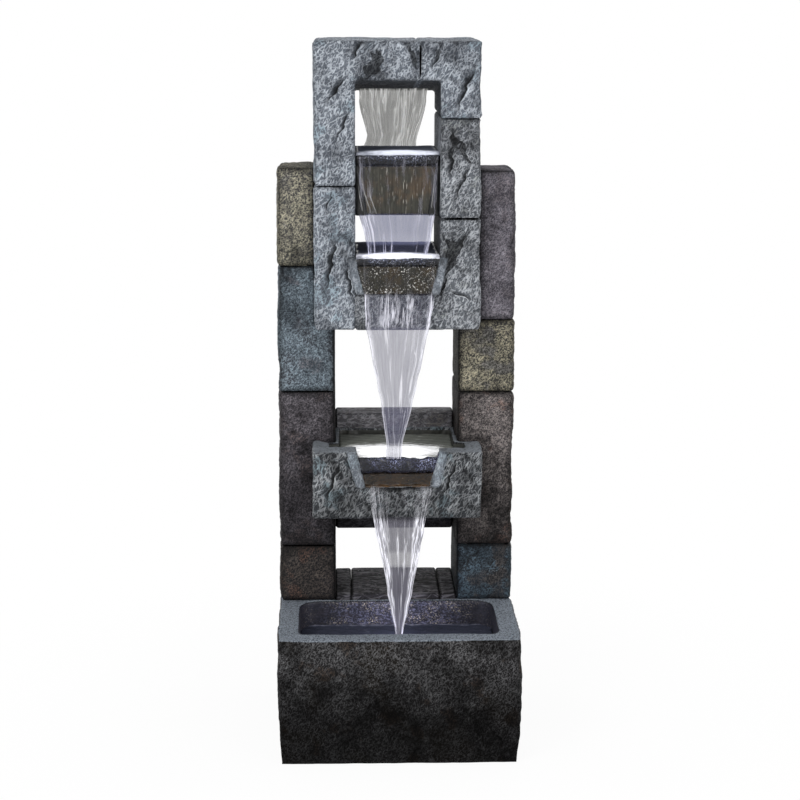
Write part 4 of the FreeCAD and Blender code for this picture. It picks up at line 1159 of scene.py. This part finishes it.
@dataclass
class Sill:
    """The dark planks between the columns and the beam behind the tray."""

    def stones(self) -> list[Stone]:
        """Plans the planks and the beam.

        Returns:
            The two fixed planks with the lift-out lid between them, and the beam.
        """
        sizes = {"lump_depth": 0.0006, "chip_depth": 0.0004, "lean": math.pi / 2,
                 "stretch": 5.0, "chip_scale": 90.0, "outward": 0.0, "round_depth": 0.0004}
        plan = ((Plank, "sill_left", PLANK, Body.FOUNTAIN), (Plank, "pump_lid", PLANK, Body.LID),
                (Plank, "sill_right", PLANK, Body.FOUNTAIN),
                (Stone, "rear_beam", BEAM, Body.FOUNTAIN))
        return [kind(node, finish, "sill_stone", body, sizes=dict(sizes, pattern=40.0 + number),
                     soft_edge=0.004, voxel=0.0015, inner=(-1, 1))
                for number, (kind, node, finish, body) in enumerate(plan)]


# ---------------------------------------------------------------- basin, bowls and tray


class BasinStone(Stone):
    """The basin: rough outside, smooth on its rim and wet and lamp-lit inside."""

    BORDER = 0.0265
    FLOOR = 0.026
    RIM = 0.006

    def dress(self, mesh: bpy.types.Mesh) -> None:
        """Gives the wet inside its own finish.

        Args:
            mesh: the carved basin.
        """
        mesh.materials.append(LIT_WALL.material())
        low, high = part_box(self.node)
        (x, y, z), up = vectors(mesh.polygons, "center").T, vectors(mesh.polygons, "normal")[:, 2]
        trough = ((np.abs(x) < high.x - self.BORDER) & (y > low.y + self.BORDER)
                  & (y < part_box("left_block_d")[0].y + 0.003) & (z > self.FLOOR)
                  & (z < high.z - 0.002) & (up > -0.7))
        rim = (up > 0.6) & (z > high.z - self.RIM)
        mesh.polygons.foreach_set("material_index", (trough & ~rim).astype(np.int32))


class Skin(IntEnum):
    """The finishes of a bowl or the tray, by their places in its list."""

    OUTSIDE = 0
    NOSE = 1
    PANEL = 2
    CHEEK = 3
    INSIDE = 4


@dataclass(frozen=True)
class Front:
    """Where the front of a bowl or of the tray has its panel and lip, and in which finishes."""

    face: float
    lip: float
    foot: float
    nose_height: float
    nose: WetFinish
    panel: WetFinish
    cheek: Finish
    inside: WetFinish = WET_SHADED_INSIDE
    half: float = 0.06
    taper: float = 0.013
    beside: float = 0.0
    nose_over: float = 0.0
    pool_half: float = 0.1
    floor: float = 0.02
    wall: float = 0.012


@dataclass
class BowlStone(Stone):
    """A bowl: dark wet nose, brown streaked panel, slate cheeks and a wet inside in painted shade.
    """

    NEAR = 0.001
    PANEL_DEPTH = 0.0035
    NOSE_DEPTH = 0.006
    CHEEK_PROUD = 0.0015

    front: Front | None = None

    def dress(self, mesh: bpy.types.Mesh) -> None:
        """Gives nose, panel, cheeks and inside their own finishes.

        Args:
            mesh: the carved bowl or tray.
        """
        front = self.front
        for finish in (front.nose, front.panel, front.cheek, front.inside):
            mesh.materials.append(finish.material())
        index = self.skins(vectors(mesh.polygons, "center"), vectors(mesh.polygons, "normal"))
        mesh.polygons.foreach_set("material_index", index)

    def skins(self, centres: np.ndarray, normals: np.ndarray) -> np.ndarray:
        """Which of the finishes each face has.

        Args:
            centres, normals: the faces' middles and directions; the directions are not used.

        Returns:
            A Skin for each face.
        """
        front, (x, y, z) = self.front, centres.T
        face, lip = front.face, front.lip
        half = front.half - front.taper * np.clip((lip - z) / (lip - front.foot), 0, 1)
        index = np.full(len(centres), Skin.INSIDE, np.int32)
        index[y < face + self.PANEL_DEPTH] = Skin.PANEL
        beside = (y < face - self.CHEEK_PROUD) & (np.abs(x) > half - front.beside)
        index[beside & (z < lip + 2 * self.NEAR)] = Skin.CHEEK
        nose = (y < face + self.NOSE_DEPTH) & (z > lip - front.nose_height - self.NEAR)
        index[nose & (np.abs(x) < half + front.nose_over)] = Skin.NOSE
        return index


class TrayStone(BowlStone):
    """The tray: a slate front with a wet notch, and dark water behind it."""

    PANEL_DEPTH = 0.02
    NOSE_DEPTH = 0.016
    CHEEK_WIDTH = 0.0135
    RIND = 0.003

    def skins(self, centres: np.ndarray, normals: np.ndarray) -> np.ndarray:
        """Keeps slate outside the notch, its cheeks and the pool.

        Args:
            centres, normals: the faces' middles and directions.

        Returns:
            A Skin for each face.
        """
        front, (x, y, z) = self.front, centres.T
        low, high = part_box(self.node)
        face, foot, near = front.face, front.foot, self.NEAR
        half = front.half - front.taper * np.clip((high.z - z) / (high.z - foot), 0, 1)
        index = np.full(len(centres), Skin.OUTSIDE, np.int32)
        notch = (np.abs(x) < half - near) & (z > foot - near) & (z < high.z)
        index[notch & (y > face - self.CHEEK_PROUD) & (y < face + self.PANEL_DEPTH)] = Skin.PANEL
        nose = (y < face + self.NOSE_DEPTH) & (z > front.lip - front.nose_height - near)
        index[notch & nose] = Skin.NOSE
        pool = ((z > low.z + front.floor) & (z < high.z - self.RIND) & (y > face + front.wall)
                & (np.abs(x) < front.pool_half) & (y < high.y - self.RIND))
        index[pool & (normals[:, 2] > -0.5)] = Skin.INSIDE
        beside = (np.abs(x) >= half - near) & (np.abs(x) < half + self.CHEEK_WIDTH)
        cheek = beside & (z > foot - near)
        index[cheek & (y < face - near)] = Skin.CHEEK
        return index


@dataclass
class Vessels:
    """The basin, the two bowls of the frame and the tray."""

    nose_upper: float = 0.017
    nose_middle: float = 0.013
    nose_tray: float = 0.022
    back_rise: float = 0.002
    nose_reach: float = 0.009
    tray_dip: float = 0.01
    notch: float = 0.051

    def stones(self) -> list[Stone]:
        """Plans the vessels.

        Returns:
            The basin, the tray, the upper and the middle bowl.
        """
        basin = BasinStone(
            "basin", BASIN, "basin_stone", voxel=0.0032, soft_edge=0.002, rind=0.02,
            top_relief=0.3, sizes={"lump_depth": 0.003, "chip_depth": 0.0012, "lean": 0.5,
                                   "stretch": 2.0, "lump_scale": 16.0, "pattern": 60.0})
        low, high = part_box("tray")
        foot, lip_shadow_level = high.z - self.notch, high.z - 0.0525
        tray = TrayStone(
            "tray", TRAY_SLATE, "tray_stone", voxel=0.002, soft_edge=0.004, rind=0.014,
            # the level cleft under the notch and the two along its cheeks carve grooves and paint
            # the shade under the lip and beside the cheeks
            clefts=((-0.081, high.z - 0.018, -0.103, high.z - 0.076, 0.0045),
                    (0.086, high.z - 0.012, 0.066, high.z - 0.068, 0.0035),
                    (-0.047, lip_shadow_level, 0.047, lip_shadow_level, 0.005),
                    (-0.074, high.z, -0.061, foot, 0.002), (0.074, high.z, 0.061, foot, 0.002)),
            sizes={"lump_depth": 0.003, "chip_depth": 0.0014, "lean": 0.55, "stretch": 3.5,
                   "lump_scale": 26.0, "pattern": 62.0},
            front=Front(low.y + self.nose_reach - 0.001, high.z - self.tray_dip, foot,
                        self.nose_tray, NOSE_TRAY, PANEL_FLAT, CHEEK, TRAY_INSIDE))
        left, _, right, _ = front_of("bowl_upper")
        upper = self._bowl(
            "bowl_upper", 64.0, 0.0035, self.nose_upper, PANEL, WET_SHADED_INSIDE,
            before=((-1.0, 0.0, left, 2.0), (right, 0.0, 1.0, 2.0)), beside=0.0055, over=0.02)
        middle = self._bowl("bowl_middle", 65.0, 0.003, self.nose_middle, PANEL_SPARKLING, CHEEK)
        return [basin, tray, upper, middle]

    def _bowl(self, node: str, pattern: float, drop: float, nose_height: float,
              panel: WetFinish, cheek: Finish, before: tuple[Rect, ...] = (),
              beside: float = 0.0, over: float = 0.0) -> BowlStone:
        """One bowl of the frame.

        Args:
            node: its node.
            pattern: a number that picks its relief.
            drop: how far its rear edge settles.
            nose_height: height of its wet lip.
            panel, cheek: finishes of its front and of the sides of it.
            before: what stands beside it, whose painted shadow falls on it.
            beside: how far the cheeks reach over the panel.
            over: how far the nose reaches over the cheeks.

        Returns:
            The bowl.
        """
        low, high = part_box(node)
        front = Front(low.y + self.nose_reach, high.z - self.back_rise, low.z, nose_height,
                      NOSE, panel, cheek, beside=beside, nose_over=over)
        sizes = {"lump_depth": 0.0008, "chip_depth": 0.0006, "lean": 0.2, "stretch": 1.5,
                 "pattern": pattern}
        return BowlStone(node, WET_SHADED_INSIDE, "bowl_stone", voxel=0.002, rind=0.03,
                         settle=(0.0, drop), before=before, sizes=sizes, front=front)


# ---------------------------------------------------------------- water


def slab(name: str, first: np.ndarray, second: np.ndarray, finish: Finish,
         **values: np.ndarray) -> bpy.types.Object:
    """A closed piece of water between two grids of points, which rides on the fountain.

    Args:
        name: the piece's name.
        first, second: the grids, as rows by columns by three numbers.
        finish: its finish.
        **values: what each point of both grids stores.

    Returns:
        The piece.
    """
    rows, row = first.shape[:2]
    sheet = rows * row
    faces = []
    for j in range(rows - 1):
        for a in range(j * row, j * row + row - 1):
            faces.append((a, a + 1, a + row + 1, a + row))
            faces.append((sheet + a, sheet + a + row, sheet + a + row + 1, sheet + a + 1))
    grid = np.arange(sheet).reshape(rows, row)
    border = np.concatenate([grid[0], grid[1:, -1], grid[-1, -2::-1], grid[-2:0:-1, 0]]).tolist()
    for a, b in zip(border, border[1:] + border[:1]):
        faces.append((a, sheet + a, sheet + b, b))
    mesh = bpy.data.meshes.new(name)
    mesh.from_pydata(np.concatenate([first, second]).reshape(-1, 3).tolist(), [], faces)
    work = bmesh.new()
    work.from_mesh(mesh)
    bmesh.ops.recalc_face_normals(work, faces=work.faces)
    work.to_mesh(mesh)
    work.free()
    mesh.shade_smooth()
    for kind, numbers in values.items():
        store(mesh, kind, numbers)
    mesh.materials.append(finish.material())
    piece = placed(name, mesh)
    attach(piece, Body.FOUNTAIN.value)
    LOG.info("%s: %d faces", name, len(mesh.polygons))
    return piece


def stacked(*parts: np.ndarray | float) -> np.ndarray:
    """Arrays joined point by point, each spread over the whole grid."""
    return np.stack(np.broadcast_arrays(*parts), axis=-1)


class Row(NamedTuple):
    """One level of a fall: its edges, how far it lies behind its lip, and how much shows of it."""

    level: float
    left: float
    right: float
    behind: float
    cover: float
    froth: float


@dataclass
class Fall:
    """A falling sheet of water, wider where it leaves than where it lands."""

    RIM = 0.00005
    LAYER = 0.003

    name: str
    finish: FilmFinish
    lip: float
    rows: tuple[Row, ...]
    thickness: float = 0.0014
    across: int = 60
    down: int = 90
    ragged: float = 0.0005
    stretch: float = 12.0

    def build(self) -> bpy.types.Object:
        """Makes the film from its rows, which run from the top down.

        Returns:
            The film, thickest beside its sharp edges.
        """
        levels, *columns = np.array(self.rows)[::-1].T
        level = levels[-1] + (levels[0] - levels[-1]) * np.arange(self.down + 1) / self.down
        left, right, behind, cover, froth = (
            np.interp(level, levels, column)[:, None] for column in columns)
        level, share = level[:, None], np.arange(self.across + 1) / self.across
        rim = np.abs(2 * share - 1)
        wave = self.ragged * np.sin(level * 150 + 1.3 * np.sin(level * 61))
        x = left + (right - left) * share + wave * (2 * share - 1)
        thick = self.thickness * (0.5 + 0.9 * rim ** 8)
        thick[[0, -1]] = self.RIM
        ripple = 0.0006 * np.sin(x * 900 + level * 25)
        ripple += 0.0005 * np.sin(x * 530 - level * 40 + 2)
        y = self.lip + behind + ripple
        spread = self.rows[0].right - self.rows[0].left
        flows = [stacked(share * spread, side * self.LAYER, level / self.stretch)
                 for side in (-1, 1)]
        fields = {name: np.tile(np.broadcast_to(field, x.shape).ravel(), 2)
                  for name, field in (("rim", rim), ("body", cover), ("froth", froth))}
        return slab(self.name, stacked(x, y - thick, level), stacked(x, y + thick, level),
                    self.finish, flow=np.concatenate(flows).reshape(-1, 3), **fields)


@dataclass
class Pool:
    """The water that stands in a vessel, foaming round the foot of its fall."""

    SHORE = 0.008

    name: str
    finish: FoamFinish
    left: float
    right: float
    front: float
    back: float
    level: float
    foot: tuple[float, float]
    reach: tuple[float, float]
    depth: float = 0.004
    heap: float = 0.003
    shore: float = 0.0
    tilt: float = 0.0
    step: float = 0.0025

    def build(self) -> bpy.types.Object:
        """Makes the water's upper layer.

        Returns:
            A thin closed slab whose top rises where it foams.
        """
        wide, deep = self.right - self.left, self.back - self.front
        columns, rows = (max(2, round(span / self.step)) for span in (wide, deep))
        x = self.left + wide * np.arange(columns + 1) / columns
        along = np.arange(rows + 1)[:, None] / rows
        y = self.front + deep * along
        away = np.hypot((x - self.foot[0]) / self.reach[0], (y - self.foot[1]) / self.reach[1])
        foam = np.maximum(0.0, np.maximum(1.15 - away, self.shore * (
            1 - (self.back - y) / self.SHORE)))
        swell = np.sin(x * 210 + y * 90) * np.sin(y * 260 - x * 70)
        z = self.level + np.minimum(1.0, foam) * self.heap + 0.0004 * swell - self.tilt * along
        return slab(self.name, stacked(x, y, z), stacked(x, y, z - self.depth - self.heap),
                    self.finish, foam=np.tile(foam.ravel(), 2))


@dataclass
class Water:
    """All falls, strands and pools, from the slot in the top trough down to the basin."""

    slot_setback: float = 0.026
    top_drop: float = 0.008
    basin_drop: float = 0.038
    wall: float = 0.0065
    gap: float = 0.0015
    tray_wall: float = 0.0225
    basin_wall: float = 0.0295
    basin_front: float = 0.0355
    strand_depth: float = 0.0035
    strands: tuple[Rect, ...] = (
        (-0.0525, 0.816, -0.037, 0.761), (-0.0435, 0.806, -0.0295, 0.76),
        (-0.0555, 0.802, -0.049, 0.764), (0.052, 0.815, 0.0475, 0.768))

    def __post_init__(self) -> None:
        """Finds the vessels, their lips and their noses in the frame."""
        self.trough, self.upper, self.middle, self.tray, self.basin = (
            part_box(name) for name in ("top_trough", "bowl_upper", "bowl_middle", "tray", "basin"))
        self.slot = self.trough[1].y - self.slot_setback
        self.still = self.basin[1].z - self.basin_drop
        self.lips = (self.upper[1].z - Vessels.back_rise, self.middle[1].z - Vessels.back_rise,
                     self.tray[1].z - Vessels.tray_dip)
        self.noses = self.upper[0].y, self.middle[0].y, self.tray[0].y

    def build(self) -> None:
        """Makes every piece of the water."""
        for piece in (*self._frame_falls(), *self._open_falls(), *self._strands(), *self._pools()):
            piece.build()

    def _frame_falls(self) -> list[Fall]:
        """Plans the two falls inside the frame.

        Returns:
            The fall from the slot, and the one that runs down the upper bowl's panel.
        """
        lip, low_lip, _ = self.lips
        foot = self.upper[0].z
        top = ((self.trough[0].z + 0.006, -0.0515, 0.0505), (0.909, -0.0523, 0.0459),
               (0.892, -0.049, 0.0423), (0.88, -0.0459, 0.0395), (0.86, -0.0408, 0.0339),
               (0.851, -0.0423, 0.0314))
        return [
            Fall("fall_top", FILM_TOP, self.slot, (
                *(Row(*edges, 0.0, 1.0, 0.9) for edges in top),
                Row(lip, -0.0446, 0.0309, 0.0, 0.9, 1.0))),
            Fall("fall_upper", FILM_LILAC, self.noses[0], (
                Row(lip - 0.004, -0.054, 0.056, -0.001, 0.0, 0.08),
                Row(0.8, -0.054, 0.056, 0.004, 0.0, 0.12),
                Row(foot + 0.003, -0.0535, 0.054, 0.006, 0.0, 0.12),
                Row(foot, -0.0535, 0.052, 0.006, 1.0, 0.2),
                Row(0.736, -0.048, 0.049, 0.004, 1.0, 0.25),
                Row(low_lip + 0.018, -0.0436, 0.0455, 0.002, 0.9, 0.5),
                Row(low_lip + 0.014, -0.0434, 0.0451, 0.002, 0.15, 0.7),
                Row(low_lip, -0.0419, 0.0424, 0.002, 0.1, 0.9))),
        ]

    def _open_falls(self) -> list[Fall]:
        """Plans the two falls in the open.

        Returns:
            The long fall into the tray, and the lowest one into the basin.
        """
        _, lip, low_lip = self.lips
        foot, (tray_low, tray_high) = self.middle[0].z, self.tray
        free = ((0.283, -0.0258, 0.0324, 1.12, 0.8), (0.277, -0.0243, 0.0312, 0.8, 0.8),
                (0.262, -0.0205, 0.028, 0.8, 0.8), (0.248, -0.0187, 0.0257, 1.35, 0.95),
                (0.22, -0.0148, 0.0208, 1.35, 0.9), (0.168, -0.0045, 0.0095, 1.35, 0.95),
                (self.still, -0.002, 0.006, 1.2, 1.0))
        return [
            Fall("fall_middle", FILM_LONG, self.noses[1], (
                Row(lip - 0.004, -0.048, 0.0515, -0.001, 0.0, 0.03),
                Row(foot + 0.003, -0.048, 0.0515, -0.001, 0.0, 0.04),
                Row(foot - 0.003, -0.0475, 0.0515, -0.002, 0.3, 0.6),
                Row(0.604, -0.045, 0.0445, -0.004, 0.3, 0.7),
                Row(0.6, -0.0443, 0.0438, -0.004, 1.0, 0.4),
                Row(0.494, -0.0235, 0.021, -0.006, 1.0, 0.4),
                Row(0.432, -0.016, 0.006, -0.008, 1.0, 0.5),
                Row(low_lip, -0.016, 0.005, -0.008, 0.9, 0.9))),
            Fall("fall_tray", FILM_LOW, self.noses[2], (
                Row(low_lip - 0.006, -0.043, 0.0475, -0.001, 0.0, 0.0),
                Row(tray_high.z - 0.047, -0.0415, 0.049, -0.003, 0.0, 0.0),
                Row(tray_high.z - 0.052, -0.0425, 0.0495, -0.003, 0.0, 0.07),
                Row(tray_low.z + 0.006, -0.035, 0.04, -0.005, 0.0, 0.14),
                Row(tray_low.z - 0.004, -0.034, 0.039, -0.005, 1.08, 0.8),
                *(Row(*edges, -0.006, cover, froth) for *edges, cover, froth in free))),
        ]

    def _strands(self) -> list[Fall]:
        """Plans the thin strands that run down the upper panel.

        Returns:
            The strands.
        """
        made = []
        for number, (left, high, right, low) in enumerate(self.strands):
            middle = left * 0.6 + right * 0.4
            rows = (Row(high, left - 0.0003, left + 0.0003, 0.0, 0.2, 0.0),
                    Row((high + low) / 2, middle - 0.0007, middle + 0.0007, 0.0, 1.0, 0.0),
                    Row(low, right - 0.0005, right + 0.0005, 0.0, 0.3, 0.0))
            made.append(Fall(f"strand_{number}", STRAND, self.noses[0] + self.strand_depth, rows,
                             across=4, down=40, thickness=0.0004, ragged=0.0002))
        return made

    def _pools(self) -> list[Pool]:
        """Plans the water that stands in the vessels, a little inside their walls.

        Returns:
            The pools.
        """
        wall, gap, trough, basin = self.wall, self.gap, self.trough, self.basin
        lip_upper, lip_middle, lip_tray = self.lips
        nose_upper, nose_middle, nose_tray = self.noses
        block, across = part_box("left_block_d")[0].y, (self.upper[0].x + gap, self.upper[1].x - gap)
        churn = (-0.006, nose_tray + 0.044), (0.095, 0.06)
        return [
            Pool("pool_top", POOL_UPPER, trough[0].x + wall, trough[1].x - wall,
                 trough[0].y + wall, trough[1].y - wall, trough[1].z - self.top_drop,
                 (0.0, self.slot), (0.001, 0.001)),
            Pool("pool_upper", POOL_UPPER, *across, nose_upper + 0.003, self.upper[1].y - wall,
                 lip_upper + gap, (0.006, nose_upper), (0.068, 0.06), tilt=0.003),
            Pool("pool_middle", POOL_MIDDLE, *across, nose_middle + 0.003,
                 self.middle[1].y - wall, lip_middle + gap, (0.001, nose_middle),
                 (0.074, 0.055), tilt=0.0025),
            Pool("pool_tray_front", POOL_TRAY, self.tray[0].x + self.tray_wall,
                 self.tray[1].x - self.tray_wall, nose_tray + 0.012, block - wall,
                 lip_tray + 0.001, *churn),
            Pool("pool_tray_rear", POOL_TRAY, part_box("sill_left")[0].x + wall,
                 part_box("sill_right")[1].x - wall, block - wall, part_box("rear_beam")[0].y - wall,
                 lip_tray + 0.001, *churn),
            Pool("pool_basin", POOL_BASIN, basin[0].x + self.basin_wall,
                 basin[1].x - self.basin_wall, basin[0].y + self.basin_front, block - 0.001,
                 self.still, (0.002, nose_tray - 0.006), (0.03, 0.03), shore=0.4),
        ]


# ---------------------------------------------------------------- pump, hose, lamps and leads


@dataclass
class Fittings:
    """The moulded and rubber pieces inside, which keep their own solids."""

    def dress(self, nodes: dict) -> None:
        """Gives each fitting the finish of what it's made of.

        Args:
            nodes: the frame's node objects.
        """
        plan = {
            "top_trough": CAST, "pump_motor_housing": PUMP_BLACK, "pump_volute": PUMP_BLACK,
            "pump_intake_cover": PUMP_BLACK, "pump_shaft": SHAFT, "shaft_bush_rear": RUBBER,
            "shaft_bush_front": RUBBER, "impeller": IMPELLER, "flow_dial": DIAL,
            "suction_feet": RUBBER, "riser_hose": VINYL, "hose_clip": STEEL,
            "lead_grommets": RUBBER, "lead_splitter": LAMP_BLACK, "cable_gland": RUBBER,
        }
        for name in ("upper", "middle", "tray", "basin"):
            plan[f"lamp_housing_{name}"] = LAMP_BLACK
            plan[f"lamp_lens_{name}"] = LENS
            plan[f"lamp_lead_{name}"] = RUBBER
        for name, finish in plan.items():
            mesh = nodes[name].data
            mesh.materials.clear()
            mesh.materials.append(finish.material())
            LOG.info("%s dressed", name)


# ---------------------------------------------------------------- studio


@dataclass
class Studio:
    """Pale floor, white surroundings, soft lamps, the fountain's own lamps and the camera."""

    lens: float = 90.0
    pitch: float = 11.65
    yaw: float = 1.792
    roll: float = -0.14
    stand: tuple[float, float, float] = (-0.085, -2.814, 1.071)
    floor_half: float = 9.0

    def camera(self) -> None:
        """Places the camera."""
        data = bpy.data.cameras.new("camera")
        data.lens, data.sensor_width, data.clip_end = self.lens, 36.0, 50
        camera = placed("camera", data, self.stand)
        camera.rotation_euler = tuple(
            math.radians(turn) for turn in (90 - self.pitch, self.roll, -self.yaw))
        bpy.context.scene.camera = camera

    def surroundings(self) -> None:
        """Makes the floor and a world that is white to the camera and softer to the stones."""
        world = bpy.data.worlds.new("studio")
        bpy.context.scene.world = world
        world.use_nodes = True
        graph = Graph(world.node_tree)
        soft, white = (graph.get("ShaderNodeBackground", {0: (1, 1, 1, 1), "Strength": strength})
                       for strength in (0.55, 1.0))
        graph.add("ShaderNodeOutputWorld", {0: self._seen(graph, soft, white)})
        paint = bpy.data.materials.new("floor")
        paint.use_nodes = True
        graph = Graph(paint.node_tree)
        matt = graph.get("ShaderNodeBsdfDiffuse", {0: (0.9, 0.9, 0.9, 1)})
        glow = graph.get("ShaderNodeEmission", {0: (1, 1, 1, 1), "Strength": 1.0})
        place = graph.get("ShaderNodeTexCoord", output="Object")
        away = graph.get("ShaderNodeVectorMath", {0: place}, "Value", operation="LENGTH")
        both = graph.get("ShaderNodeMixShader",
                         {0: away.span(0.25, 0.9, 0.94, 1.0), 1: matt, 2: glow})
        graph.add("ShaderNodeOutputMaterial", {0: self._seen(graph, matt, both)})
        mesh = bpy.data.meshes.new("floor")
        far = self.floor_half
        mesh.from_pydata([(-far, -far, 0), (far, -far, 0), (far, far, 0), (-far, far, 0)], [],
                         [(0, 1, 2, 3)])
        mesh.materials.append(paint)
        placed("floor", mesh)

    @staticmethod
    def _seen(graph: Graph, plain: Value, shown: Value) -> Value:
        """One shader for the light on the object, another for what camera and gloss see.

        Args:
            graph: the tree to write in.
            plain: the shader that lights.
            shown: the shader that is seen.

        Returns:
            Both in one.
        """
        camera, glossy, through = (
            graph.get("ShaderNodeLightPath", output=f"Is {ray} Ray")
            for ray in ("Camera", "Glossy", "Transmission"))
        return graph.get("ShaderNodeMixShader",
                         {0: (camera + glossy + through).held(), 1: plain, 2: shown})

    def lamp(self, name: str, place: tuple, aim: tuple, size: float, power: float) -> None:
        """Hangs a white square soft lamp.

        Args:
            name: its name.
            place: where it hangs.
            aim: the spot it points at.
            size: its side.
            power: watts.
        """
        data = bpy.data.lights.new(name, "AREA")
        data.size, data.energy = size, power
        turn = (Vector(aim) - Vector(place)).to_track_quat("-Z", "Y").to_euler()
        placed(name, data, place).rotation_euler = turn

    def glow(self, name: str, place: tuple, power: float,
             colour: tuple[float, float, float]) -> None:
        """Lights one of the fountain's own lamps under water.

        Args:
            name: its name.
            place: where it is.
            power: watts.
            colour: the colour of its light.
        """
        data = bpy.data.lights.new(name, "POINT")
        data.energy, data.color, data.shadow_soft_size = power, colour, 0.03
        placed(name, data, place)

    def build(self) -> None:
        """Sets up everything round the fountain."""
        self.camera()
        self.surroundings()
        self.lamp("key", (-1.6, -2.2, 2.4), (0, 0, 0.5), 1.6, 46)
        self.lamp("fill", (1.8, -2.0, 1.2), (0, 0, 0.5), 1.6, 18)
        self.lamp("top", (0.2, 0.3, 2.6), (0, 0, 0.4), 1.2, 14)
        cold = (0.82, 0.84, 1.0)
        self.glow("glow_upper", (0, 0.03, 0.875), 0.02, cold)
        self.glow("glow_middle", (0, -0.01, 0.72), 0.02, cold)
        self.glow("glow_basin", (0, -0.05, 0.16), 0.14, (0.8, 0.78, 1.0))


def main() -> None:
    """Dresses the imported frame."""
    logging.basicConfig(level=logging.INFO, format="%(message)s")
    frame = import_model()
    nodes = frame["nodes"]
    bpy.context.scene.view_settings.view_transform = "Standard"
    Studio().build()
    relief = Relief()
    for group in (Vessels(), Columns(), Frame(), Sill()):
        for stone in group.stones():
            stone.build(nodes, relief)
    Water().build()
    Fittings().dress(nodes)


if __name__ == "__main__":
    main()
